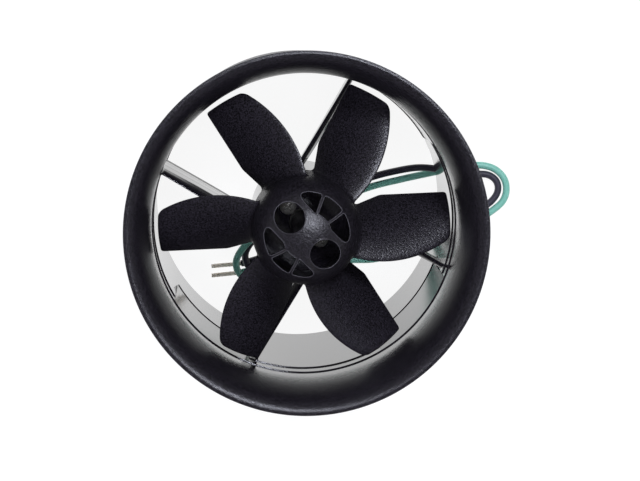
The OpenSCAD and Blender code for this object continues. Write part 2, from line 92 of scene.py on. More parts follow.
class Body(str, Enum):
    """The two bodies of the fan."""

    HOUSING = "housing"
    ROTOR = "rotor"


class Slot(str, Enum):
    """The record's material slots."""

    DUCT = "duct_plastic"
    IMPELLER = "impeller_plastic"
    STEEL = "steel"
    BRONZE = "bronze"
    FERRITE = "ferrite"
    COPPER = "copper"
    NYLON = "nylon"
    TIN = "tin"
    GREEN = "green_pvc"
    BLACK = "black_pvc"


def linear(hex_colour: str) -> tuple[float, float, float, float]:
    """Turns an sRGB hex colour into linear RGBA.

    Args:
        hex_colour: Colour such as "#1b191c".

    Returns:
        Linear red, green, blue and an alpha of 1.
    """
    parts = [int(hex_colour[i : i + 2], 16) / 255 for i in (1, 3, 5)]
    low = [c / 12.92 if c <= 0.04045 else ((c + 0.055) / 1.055) ** 2.4 for c in parts]
    return (low[0], low[1], low[2], 1.0)


def polar(radius: np.ndarray | float, degrees: np.ndarray | float) -> np.ndarray:
    """Plan points at a radius and an angle in degrees."""
    turn = np.radians(degrees)
    return np.stack(np.broadcast_arrays(radius * np.cos(turn), radius * np.sin(turn)), -1)


def socket(source: object) -> object:
    """A node's first output; anything else as it is."""
    return source.outputs[0] if isinstance(source, Node) else source


def add_node(
    tree: NodeTree, kind: str, inputs: Optional[dict] = None, **settings: object
) -> Node:
    """Adds one node with its settings and links.

    Args:
        tree: Tree that takes the node.
        kind: Blender's type name of the node.
        inputs: Socket name or number, with a value, or a node or socket to link from.
        settings: The node's own attributes.

    Returns:
        The new node.
    """
    made = tree.nodes.new(kind)
    for name, value in settings.items():
        setattr(made, name, value)
    for key, value in (inputs or {}).items():
        source = socket(value)
        if isinstance(source, NodeSocket):
            tree.links.new(source, made.inputs[key])
        else:
            made.inputs[key].default_value = source
    return made


def axial(tree: NodeTree, place: NodeSocket) -> tuple[NodeSocket, NodeSocket]:
    """Height along the fan's axis and distance from it.

    Args:
        tree: The material's tree.
        place: Object coordinates.

    Returns:
        The sockets of height and distance.
    """
    axes = add_node(tree, "ShaderNodeSeparateXYZ", {0: place}).outputs
    flat = add_node(tree, "ShaderNodeCombineXYZ", {0: axes[0], 1: axes[1]})
    reach = add_node(tree, "ShaderNodeVectorMath", {0: flat}, operation="LENGTH")
    return axes[2], reach.outputs["Value"]


@dataclass(frozen=True)
class PaintedRimHighlight:
    """Pale painted highlight on the rims that stand proud of a domed face.

    Args:
        colour: Colour of the painted highlight on the rims.
        base: Height in millimetres at which the dome begins.
        height: Height of the dome.
        radius: Radius of the dome.
        proud: How far the rims stand proud.
        fade: Radii between which the painted highlight grows from faint to full.
        faint: Least painted highlight, near the axis.
    """

    colour: str
    base: float
    height: float
    radius: float
    proud: float
    fade: Pair
    faint: float = 0.2

    def mask(self, tree: NodeTree, place: NodeSocket) -> Node:
        """Node that gives 1 where the painted highlight lies on a rim, from Object coordinates.

        Args:
            tree: The material's tree.
            place: Object coordinates.

        Returns:
            A node that gives 1 where the painted highlight lies on a rim.
        """
        height, reach = axial(tree, place)
        share = add_node(tree, MATH, {0: reach, 1: self.radius * MM}, operation="DIVIDE")
        square = add_node(tree, MATH, {0: share, 1: share}, operation="MULTIPLY")
        left = add_node(tree, MATH, {0: 1.0, 1: square}, operation="SUBTRACT", use_clamp=True)
        root = add_node(tree, MATH, {0: left}, operation="SQRT")
        dome = {0: root, 1: self.height * MM, 2: self.base * MM}
        top = add_node(tree, MATH, dome, operation="MULTIPLY_ADD")
        rise = add_node(tree, MATH, {0: height, 1: top}, operation="SUBTRACT")
        low, high = (part * self.proud * MM for part in MID)
        # Painted highlight mask: full where a rim stands proud of the dome.
        highlight_share = add_node(tree, RANGE, {"Value": rise, "From Min": low, "From Max": high})
        near, far = (radius * MM for radius in self.fade)
        grown = {"Value": reach, "From Min": near, "From Max": far, "To Min": self.faint}
        return add_node(tree, MATH, {0: highlight_share, 1: add_node(tree, RANGE, grown)}, operation="MULTIPLY")


@dataclass(frozen=True)
class Polish:
    """Where the moulding tool was polished: low down and inside the wall.

    Args:
        roughness: Roughness of the polished face.
        below: Height in millimetres below which the face is polished.
        fade: Height over which the polish fades into the grain.
        inside: Radius inside which it is polished.
        throat: The same near the top of the polish, where the bore opens.
        throat_depth: How far below the top that wider radius begins.
    """

    roughness: float
    below: float
    fade: float
    inside: float
    throat: float
    throat_depth: float

    def mask(self, tree: NodeTree, place: NodeSocket) -> Node:
        """Node that gives 1 where the face is polished, from Object coordinates.

        Args:
            tree: The material's tree.
            place: Object coordinates.

        Returns:
            A node that gives 1 where the face is polished.
        """
        height, reach = axial(tree, place)
        fading = {"From Min": self.below * MM, "From Max": (self.below + self.fade) * MM}
        low = add_node(tree, RANGE, {"Value": height, **fading, "To Min": 1.0, "To Max": 0.0})
        inside = add_node(tree, MATH, {0: reach, 1: self.inside * MM}, operation="LESS_THAN")
        throat = add_node(tree, MATH, {0: reach, 1: self.throat * MM}, operation="LESS_THAN")
        start = (self.below - self.throat_depth) * MM
        high = add_node(tree, MATH, {0: height, 1: start}, operation="GREATER_THAN")
        flared = add_node(tree, MATH, {0: throat, 1: high}, operation="MULTIPLY")
        either = add_node(tree, MATH, {0: inside, 1: flared}, operation="MAXIMUM")
        return add_node(tree, MATH, {0: low, 1: either}, operation="MULTIPLY")


@dataclass(frozen=True)
class Grained:
    """A surface with a fine grain, and with clouds where the finish has them.

    Args:
        name: Name of the material.
        ground: Colour at the pattern's low values.
        figure: Colour at its high values.
        roughness: Middle roughness.
        grain_mm: Width of one grain.
        grain_um: Height of the grain.
        detail: Octaves of the grain.
        crisp: Strength of the grain's finer octaves.
        along: Stretch of the grain on X, Y and Z, if any.
        cloud_mm: Size of the clouds that the colour follows in place of the grain, if any.
        cloudy: Whether the roughness follows the clouds too.
        band: Values of the pattern between which the colour turns.
        sway: How far the roughness falls and rises.
        sway_band: Values of the pattern between which it does so.
        metal: How metallic the skin is, less than 1 under bloom or flux.
        ior: Index of refraction.
        polish: Where it is polished, if anywhere.
        rim_highlight: Painted highlight on proud rims, if any.
    """

    name: str
    ground: str
    figure: str
    roughness: float
    grain_mm: float
    grain_um: float
    detail: float = 2.0
    crisp: float = 0.5
    along: Optional[tuple[float, float, float]] = None
    cloud_mm: Optional[float] = None
    cloudy: bool = False
    band: Pair = (0.0, 1.0)
    sway: Pair = (0.06, 0.06)
    sway_band: Pair = MID
    metal: float = 0.0
    ior: float = 1.5
    polish: Optional[Polish] = None
    rim_highlight: Optional[PaintedRimHighlight] = None

    def build(self) -> Material:
        """Makes the material.

        Returns:
            The new material.
        """
        made = bpy.data.materials.new(self.name)
        made.use_nodes = True
        tree = made.node_tree
        tree.nodes.clear()
        place = add_node(tree, "ShaderNodeTexCoord").outputs["Object"]
        drawn = place
        if self.along is not None:
            drawn = add_node(tree, "ShaderNodeMapping", {"Vector": place, "Scale": self.along})
        octaves = {"Detail": self.detail, "Roughness": self.crisp}
        grain = add_node(tree, NOISE, {"Vector": drawn, "Scale": 1 / (self.grain_mm * MM), **octaves})
        pattern = grain
        if self.cloud_mm is not None:
            clouds = {"Vector": place, "Scale": 1 / (self.cloud_mm * MM), "Detail": CLOUD_DETAIL}
            pattern = add_node(tree, NOISE, clouds)
        bump = {"Strength": 1.0, "Distance": self.grain_um * MICRON, "Height": grain}
        (low, high), (fall, rise) = self.sway_band, self.sway
        ends = {"To Min": self.roughness - fall, "To Max": self.roughness + rise}
        swaying = {"Value": pattern if self.cloudy else grain, "From Min": low, "From Max": high}
        rough = add_node(tree, RANGE, {**swaying, **ends})
        if self.polish is not None:
            gate = self.polish.mask(tree, place)
            smooth = {0: gate, FLOAT_A: rough, FLOAT_B: self.polish.roughness}
            rough = add_node(tree, MIX, smooth, data_type="FLOAT")
            flat = {0: gate, FLOAT_A: grain, FLOAT_B: FLAT_RELIEF}
            bump["Height"] = add_node(tree, MIX, flat, data_type="FLOAT")
        surface = {
            "Base Color": self.tint(tree, place, pattern),
            "Roughness": rough,
            "Normal": add_node(tree, "ShaderNodeBump", bump),
            "Metallic": self.metal,
            "IOR": self.ior,
        }
        shader = add_node(tree, "ShaderNodeBsdfPrincipled", surface)
        add_node(tree, "ShaderNodeOutputMaterial", {"Surface": shader})
        return made

    def tint(self, tree: NodeTree, place: NodeSocket, pattern: Node) -> NodeSocket:
        """Colour that turns with a pattern, with the painted rim highlight over it.

        Args:
            tree: The material's tree.
            place: Object coordinates.
            pattern: Node that the colour follows.

        Returns:
            The socket of the colour.
        """
        low, high = self.band
        share = add_node(tree, RANGE, {"Value": pattern, "From Min": low, "From Max": high})
        ends = {0: share, COLOUR_A: linear(self.ground), COLOUR_B: linear(self.figure)}
        tint = add_node(tree, MIX, ends, data_type="RGBA").outputs[COLOUR_OUT]
        if self.rim_highlight is None:
            return tint
        # Lay the painted highlight's pale colour over the proud rims.
        ends = {0: self.rim_highlight.mask(tree, place), COLOUR_A: tint, COLOUR_B: linear(self.rim_highlight.colour)}
        return add_node(tree, MIX, ends, data_type="RGBA").outputs[COLOUR_OUT]


@dataclass(frozen=True)
class MouldedPlastic(Grained):
    """Injection-moulded plastic: spark-eroded grain, drawn coarser than life so that it shows."""

    crisp: float = 0.6
    band: Pair = (0.36, 0.64)
    ior: float = 1.58


@dataclass(frozen=True)
class WorkedMetal(Grained):
    """Bare or plated metal: drawing lines, and a faint tarnish in clouds."""

    detail: float = 3.0
    cloud_mm: Optional[float] = 4.0
    band: Pair = (0.42, 0.72)
    sway: Pair = (0.07, 0.09)
    metal: float = 1.0


@dataclass(frozen=True)
class SoftInsulation(Grained):
    """Extruded soft PVC: fine draw marks, and a satin bloom in clouds."""

    grain_mm: float = 0.25
    grain_um: float = 6.0
    cloud_mm: Optional[float] = 3.0
    cloudy: bool = True
    sway: Pair = (0.05, 0.08)
    ior: float = 1.53


@dataclass(frozen=True)
class DullSolid(Grained):
    """Ground ferrite, carbon or moulded nylon: matte, with a speckle of its own grit."""

    grain_um: float = 8.0
    detail: float = 3.0
    sway: Pair = (0.1, 0.1)
    sway_band: Pair = (0.0, 1.0)


class Palette:
    """Every finish of the fan, made once and found by its slot."""

    def __init__(self) -> None:
        """Makes the materials."""
        bore = Polish(
            roughness=0.1, below=57.0, fade=14.0, inside=33.2, throat=34.6, throat_depth=6.0
        )
        dome = {"base": Impeller.dome_z, "height": Impeller.dome_h, "radius": Impeller.hub_r}
        # Painted highlight: pale grey laid on the nose's proud rims, where light would catch them.
        rims = PaintedRimHighlight("#514f54", proud=Impeller.bead_h, fade=(4.5, 8.5), **dome)
        drawn = (1.0, 1.0, 0.08)
        finishes = {
            # Black ABS: the lip keeps the tool's spark grain, the bore is polished like glass.
            Slot.DUCT: MouldedPlastic(
                "moulded_black_abs", "#08070a", "#221f25", 0.36, 0.36, 80, polish=bore
            ),
            # Glass-filled nylon: satin all over, with tiny glints from the fibres at the skin.
            # The rims of the nose's openings carry a pale painted highlight.
            Slot.IMPELLER: MouldedPlastic(
                "glass_filled_nylon", "#09080a", "#242127", 0.36, 0.36, 100, rim_highlight=rims
            ),
            # Zinc-plated drawn steel: a grey mirror broken by drawing lines along Z.
            Slot.STEEL: WorkedMetal(
                "zinc_plated_steel", "#b3b1ab", "#8d867c", 0.32, 0.3, 1.6, along=drawn, metal=0.8
            ),
            # Oil-filled sintered bronze: brown and pitted.
            Slot.BRONZE: WorkedMetal("sintered_bronze", "#b08a58", "#7d5c3a", 0.46, 0.2, 6),
            # Ground ferrite and carbon: near black and dull.
            Slot.FERRITE: DullSolid("ground_ferrite", "#2b2a2c", "#454346", 0.62, 0.2),
            # Rolled copper: warm and bright, browner in patches.
            Slot.COPPER: WorkedMetal("rolled_copper", "#cf8a5a", "#a2643e", 0.3, 0.25, 1.5),
            # Natural nylon: milky and satin.
            Slot.NYLON: DullSolid("natural_nylon", "#dcd5c3", "#ebe6d9", 0.45, 0.6),
            # Tinned strands and solder: soft white metal with a slight bloom.
            Slot.TIN: WorkedMetal("tinned_wire", "#fbf2e2", "#ebdfc9", 0.5, 0.15, 3, metal=0.0),
            # Soft PVC: waxy colour under a pale bloom.
            Slot.GREEN: SoftInsulation("green_soft_pvc", "#6ab09c", "#88c3b1", 0.42),
            Slot.BLACK: SoftInsulation("black_soft_pvc", "#2c2a33", "#3a3843", 0.45),
        }
        self.made = {slot: finish.build() for slot, finish in finishes.items()}

    def __getitem__(self, slot: Slot) -> Material:
        """The material of a slot."""
        return self.made[slot]


@dataclass
class Shell:
    """Points in millimetres and the faces between them."""

    points: np.ndarray
    faces: list[tuple[int, ...]]

    def __add__(self, other: Shell) -> Shell:
        """Both shells as one.

        Args:
            other: The shell to add.

        Returns:
            A new shell.
        """
        shift = len(self.points)
        moved = [tuple(i + shift for i in f) for f in other.faces]
        return Shell(np.vstack([self.points, other.points]), self.faces + moved)

    def moved(self, x: float) -> Shell:
        """The shell moved along X."""
        return Shell(self.points + np.array([x, 0, 0]), self.faces)


def skin(
    rings: np.ndarray, loop: bool = False, caps: bool = False, closed: bool = True
) -> Shell:
    """Quads between rings of points.

    Args:
        rings: Array of rings by points by three.
        loop: Whether the last ring joins the first.
        caps: Whether both ends are closed with one face each.
        closed: Whether each ring closes on itself.

    Returns:
        The skin as a shell.
    """
    count, size = rings.shape[:2]
    faces: list[tuple[int, ...]] = []
    for i in range(count if loop else count - 1):
        a, b = i * size, (i + 1) % count * size
        for k in range(size if closed else size - 1):
            n = (k + 1) % size
            faces.append((a + k, a + n, b + n, b + k))
    if caps:
        faces.append(tuple(range(size - 1, -1, -1)))
        faces.append(tuple((count - 1) * size + k for k in range(size)))
    return Shell(rings.reshape(-1, 3), faces)


def level(plan: np.ndarray, height: np.ndarray | float) -> np.ndarray:
    """Plan points lifted to a height, or to one height each."""
    return np.column_stack([plan, np.broadcast_to(height, len(plan))])


def held(
    profiles: Sequence[tuple[float, np.ndarray]], closed: bool
) -> list[tuple[float, np.ndarray]]:
    """Adds points beside the ends of long spans, so that smooth shading stays at the edges.

    Args:
        profiles: Angle with its outline, all with the same number of points.
        closed: Whether each outline closes on itself.

    Returns:
        The same profiles with the added points.
    """
    hair, long_span, most = 0.06, 1.2, 0.3
    spans = np.array([np.linalg.norm(np.roll(p, -1, 0) - p, axis=1) for _, p in profiles])
    is_long = spans.max(axis=0) > long_span
    is_long[-1] &= closed
    made = []
    for (angle, outline), lengths in zip(profiles, spans):
        points = []
        for k, (point, after) in enumerate(zip(outline, np.roll(outline, -1, 0))):
            points.append(point)
            if is_long[k]:
                step = (after - point) * min(hair / max(lengths[k], hair), most)
                points += [point + step, after - step]
        made.append((angle, np.array(points)))
    return made


def around(profiles: Sequence[tuple[float, np.ndarray]], closed: bool = True) -> Shell:
    """Turns profiles round Z, each at its own angle.

    Args:
        profiles: Angle in degrees with its outline of radius and height.
        closed: Whether each outline closes on itself.

    Returns:
        The turned shell.
    """
    rings = [level(polar(p[:, 0], a), p[:, 1]) for a, p in held(profiles, closed)]
    return skin(np.array(rings), loop=True, closed=closed)


def lathe(profile: Sequence[Pair], segments: int, closed: bool = True) -> Shell:
    """Turns one outline of radius and height all the way round Z."""
    outline = np.array(profile, float)
    return around([(360 * k / segments, outline) for k in range(segments)], closed=closed)


def rounded(corner: Pair, start: float, end: float, radius: float, steps: int = 4) -> list[Pair]:
    """Points of an arc in a profile.

    Args:
        corner: Centre of the arc, as radius and height.
        start: First angle in degrees.
        end: Last angle in degrees.
        radius: Radius of the arc.
        steps: Number of spans.

    Returns:
        The arc's points in order.
    """
    return bowed(corner, (radius, radius), start, end, steps + 1)


def bowed(corner: Pair, axes: Pair, start: float, end: float, count: int) -> list[Pair]:
    """Points of an elliptic arc in a profile.

    Args:
        corner: Centre of the ellipse, as radius and height.
        axes: Its half-axes along radius and height.
        start: First angle in degrees.
        end: Last angle in degrees.
        count: Number of points.

    Returns:
        The arc's points in order.
    """
    turns = np.radians(np.linspace(start, end, count))
    return [(corner[0] + axes[0] * math.cos(t), corner[1] + axes[1] * math.sin(t)) for t in turns]


def linked(name: str, data: bpy.types.ID) -> Piece:
    """A new object with its data, in the scene.

    Args:
        name: Name of the object.
        data: Its mesh, lamp or camera.

    Returns:
        The linked object.
    """
    made = bpy.data.objects.new(name, data)
    bpy.context.scene.collection.objects.link(made)
    return made


def shade(data: Mesh, sharp: float) -> None:
    """Shades a mesh smooth, with edges past an angle in degrees kept sharp.

    Args:
        data: The mesh.
        sharp: Angle in degrees past which an edge stays sharp.
    """
    data.polygons.foreach_set("use_smooth", [True] * len(data.polygons))
    data.set_sharp_from_angle(angle=math.radians(sharp))
    data.update()


def mesh_piece(name: str, shell: Shell, finish: Material, sharp: float = SHARP) -> Piece:
    """Makes a smooth-shaded object at the origin from a shell, welded, with faces outwards.

    Args:
        name: Name of the object.
        shell: Its points and faces.
        finish: Its material.
        sharp: Angle in degrees past which an edge stays sharp.

    Returns:
        The linked object.
    """
    data = bpy.data.meshes.new(name)
    data.from_pydata((shell.points * MM).tolist(), [], shell.faces)
    work = bmesh.new()
    work.from_mesh(data)
    bmesh.ops.remove_doubles(work, verts=work.verts, dist=WELD)
    bmesh.ops.dissolve_degenerate(work, dist=WELD, edges=work.edges)
    bmesh.ops.recalc_face_normals(work, faces=work.faces)
    work.to_mesh(data)
    work.free()
    shade(data, sharp)
    data.materials.append(finish)
    return linked(name, data)


def joined(name: str, parts: Sequence[Piece], sharp: float = SHARP) -> Piece:
    """Joins objects of one finish into one.

    Args:
        name: Name of the joined object.
        parts: The objects, which are removed.
        sharp: Angle in degrees past which an edge stays sharp.

    Returns:
        The joined object.
    """
    work = bmesh.new()
    for part in parts:
        work.from_mesh(part.data)
    data = bpy.data.meshes.new(name)
    work.to_mesh(data)
    work.free()
    data.materials.append(parts[0].data.materials[0])
    for part in parts:
        bpy.data.objects.remove(part)
    data.polygons.foreach_set("material_index", [0] * len(data.polygons))
    shade(data, sharp)
    return linked(name, data)


class CopyRing:
    """Geometry Nodes tree that sets copies of a piece round Z."""

    def __init__(self) -> None:
        """Builds the tree with its named inputs."""
        tree = bpy.data.node_groups.new("copies_round_the_axis", "GeometryNodeTree")
        face = tree.interface
        face.new_socket("Geometry", in_out="OUTPUT", socket_type="NodeSocketGeometry")
        self.names = {
            name: face.new_socket(name, in_out="INPUT", socket_type="NodeSocket" + kind).identifier
            for name, kind in RING_INPUTS.items()
        }
        given = add_node(tree, "NodeGroupInput").outputs
        step = add_node(tree, MATH, {0: math.tau, 1: given["Copies"]}, operation="DIVIDE")
        index = add_node(tree, "GeometryNodeInputIndex")
        turned = {0: index, 1: step, 2: given["First angle"]}
        turn = add_node(tree, MATH, turned, operation="MULTIPLY_ADD")
        spin = add_node(tree, "ShaderNodeCombineXYZ", {2: turn})
        way = add_node(tree, "FunctionNodeEulerToRotation", {0: spin})
        spots = add_node(tree, "GeometryNodePoints", {"Count": given["Copies"]})
        piece = add_node(
            tree, "GeometryNodeObjectInfo", {"Object": given["Piece"]}, transform_space="ORIGINAL"
        ).outputs["Geometry"]
        set_out = {"Points": spots, "Instance": piece, "Rotation": way}
        copies = add_node(tree, "GeometryNodeInstanceOnPoints", set_out)
        solid = add_node(tree, "GeometryNodeRealizeInstances", {0: copies})
        dressed = {"Geometry": solid, "Material": given["Finish"]}
        add_node(
            tree, "NodeGroupOutput", {0: add_node(tree, "GeometryNodeSetMaterial", dressed)}
        )
        self.tree = tree

    def make(self, name: str, piece: Piece, copies: int, first: float, finish: Material) -> Piece:
        """Sets copies round Z and turns them into a plain mesh.

        Args:
            name: Name of the new object.
            piece: The piece to repeat, which is removed.
            copies: Number of copies.
            first: Angle of the first copy in degrees.
            finish: Material of the copies.

        Returns:
            The object that holds every copy.
        """
        host = linked(name + "_host", bpy.data.meshes.new(name + "_host"))
        ring = host.modifiers.new("ring", "NODES")
        ring.node_group = self.tree
        for key, value in zip(RING_INPUTS, (piece, copies, math.radians(first), finish)):
            ring[self.names[key]] = value
        seen = host.evaluated_get(bpy.context.evaluated_depsgraph_get())
        data = bpy.data.meshes.new_from_object(seen)
        data.name = name
        host.modifiers.remove(ring)
        for used in (host, piece):
            bpy.data.objects.remove(used)
        data.materials.clear()
        data.materials.append(finish)
        return linked(name, data)


class Outline(Protocol):
    """Closed plan outline that can grow."""

    def points(self, grow: float) -> np.ndarray:
        """Points of the outline grown by some millimetres."""


@dataclass(frozen=True)
class RoundHole:
    """Round hole through the nose."""

    centre: Pair
    radius: float
    count: int = 72

    def points(self, grow: float) -> np.ndarray:
        """Points of the hole grown by some millimetres."""
        turns = np.arange(self.count) * 360 / self.count
        return np.array(self.centre) + polar(self.radius + grow, turns)


@dataclass(frozen=True)
class NoseWindow:
    """Window with straight sides and arcs round the axis, and rounded corners.

    Args:
        corners: Sharp corners in plan, in order.
        arcs: Whether the side after each corner is an arc round the axis.
        trims: Length that the rounding takes from both sides of each corner.
        spacing: Distance between points along a side.
        bends: Spans in each rounded corner.
    """

    corners: tuple[Pair, ...]
    arcs: tuple[bool, ...]
    trims: tuple[float, ...]
    spacing: float = 0.25
    bends: int = 7

    def side(self, i: int) -> np.ndarray:
        """Points of the side after a corner, without its rounded ends.

        Args:
            i: Number of the corner.

        Returns:
            Plan points in order.
        """
        j = (i + 1) % len(self.corners)
        a, b = np.array(self.corners[i]), np.array(self.corners[j])
        length = float(np.hypot(*(b - a)))
        count = max(4, int(length / self.spacing))
        share = np.linspace(self.trims[i] / length, 1 - self.trims[j] / length, count)
        if not self.arcs[i]:
            return a + np.outer(share, b - a)
        turns = np.degrees(np.unwrap([math.atan2(*a[::-1]), math.atan2(*b[::-1])]))
        return polar(float(np.hypot(*a)), turns[0] + share * (turns[1] - turns[0]))

    def points(self, grow: float) -> np.ndarray:
        """Points of the window grown by some millimetres.

        Args:
            grow: Millimetres to grow by.

        Returns:
            Plan points in order.
        """
        sides = [self.side(i) for i in range(len(self.corners))]
        s = np.linspace(0, 1, self.bends + 1)[1:-1, None]
        rows = []
        for i, corner in enumerate(self.corners):
            a, b = sides[i - 1][-1], sides[i][0]
            rows += [(1 - s) ** 2 * a + 2 * s * (1 - s) * np.array(corner) + s**2 * b, sides[i]]
        line = np.vstack(rows)
        after = np.roll(line, -1, 0)
        way = after - np.roll(line, 1, 0)
        out = np.column_stack([way[:, 1], -way[:, 0]]) / np.hypot(*way.T)[:, None]
        area = float(np.sum(line[:, 0] * after[:, 1] - line[:, 1] * after[:, 0]))
        return line + out * math.copysign(grow, area)


@dataclass(frozen=True)
class CrossRecess:
    """Cross in a screw head."""

    arm: float
    width: float

    def points(self, grow: float) -> np.ndarray:
        """Points of the cross grown by some millimetres.

        Args:
            grow: Millimetres to grow by.

        Returns:
            Plan points in order.
        """
        a, w = self.arm + grow, self.width / 2 + grow
        quarter = np.array([[a, -w], [a, w], [w, w]])
        turns = [np.array([[c, -s], [s, c]]) for c, s in ((1, 0), (0, 1), (-1, 0), (0, -1))]
        return np.vstack([quarter @ t.T for t in turns])


def inside(points: np.ndarray, outline: np.ndarray) -> np.ndarray:
    """Which plan points lie inside a closed outline.

    Args:
        points: Plan points.
        outline: Points of the closed outline.

    Returns:
        True for each point inside.
    """
    x, y = points[:, :1], points[:, 1:]
    a, b = outline, np.roll(outline, -1, axis=0)
    cross = (a[:, 1] > y) != (b[:, 1] > y)
    with np.errstate(divide="ignore", invalid="ignore"):
        at = (b[:, 0] - a[:, 0]) * (y - a[:, 1]) / (b[:, 1] - a[:, 1]) + a[:, 0]
    return (cross & (x < at)).sum(1) % 2 == 1


def pierced_disc(
    radius: float, holes: Sequence[np.ndarray], height: Height, step: float, segments: int
) -> Shell:
    """Fine triangles over a round plan with holes, lifted to a height.

    Args:
        radius: Outer radius.
        holes: Closed outlines that are left open.
        height: Height over plan points.
        step: Spacing of the inner points.
        segments: Points on the outer circle.

    Returns:
        The open surface.
    """
    loops = [polar(radius, np.arange(segments) * 360 / segments), *holes]
    rows, fewest, clearance, same = [], 6, 1 + step / 6, 1e-7
    for r in np.arange(step / 2, radius - step / 2, step):
        count = max(fewest, int(math.tau * r / step))
        rows.append(polar(r, (np.arange(count) + (int(r / step) % 2) / 2) * 360 / count))
    free = np.vstack(rows)
    for hole in holes:
        middle = hole.mean(0)
        free = free[~inside(free, middle + (hole - middle) * clearance)]
    edges, start = [], 0
    for loop in loops:
        edges += [(start + k, start + (k + 1) % len(loop)) for k in range(len(loop))]
        start += len(loop)
    plan = [Vector(p) for p in np.vstack([*loops, free])]
    verts, _, faces, *_ = delaunay_2d_cdt(plan, edges, [], 0, same)
    flat = np.array([tuple(v) for v in verts])
    tris = np.array([tuple(f) for f in faces])
    middles = flat[tris].mean(1)
    keep = np.hypot(*middles.T) < radius
    for hole in holes:
        keep &= ~inside(middles, hole)
    return Shell(level(flat, height(flat)), [tuple(t) for t in tris[keep].tolist()])


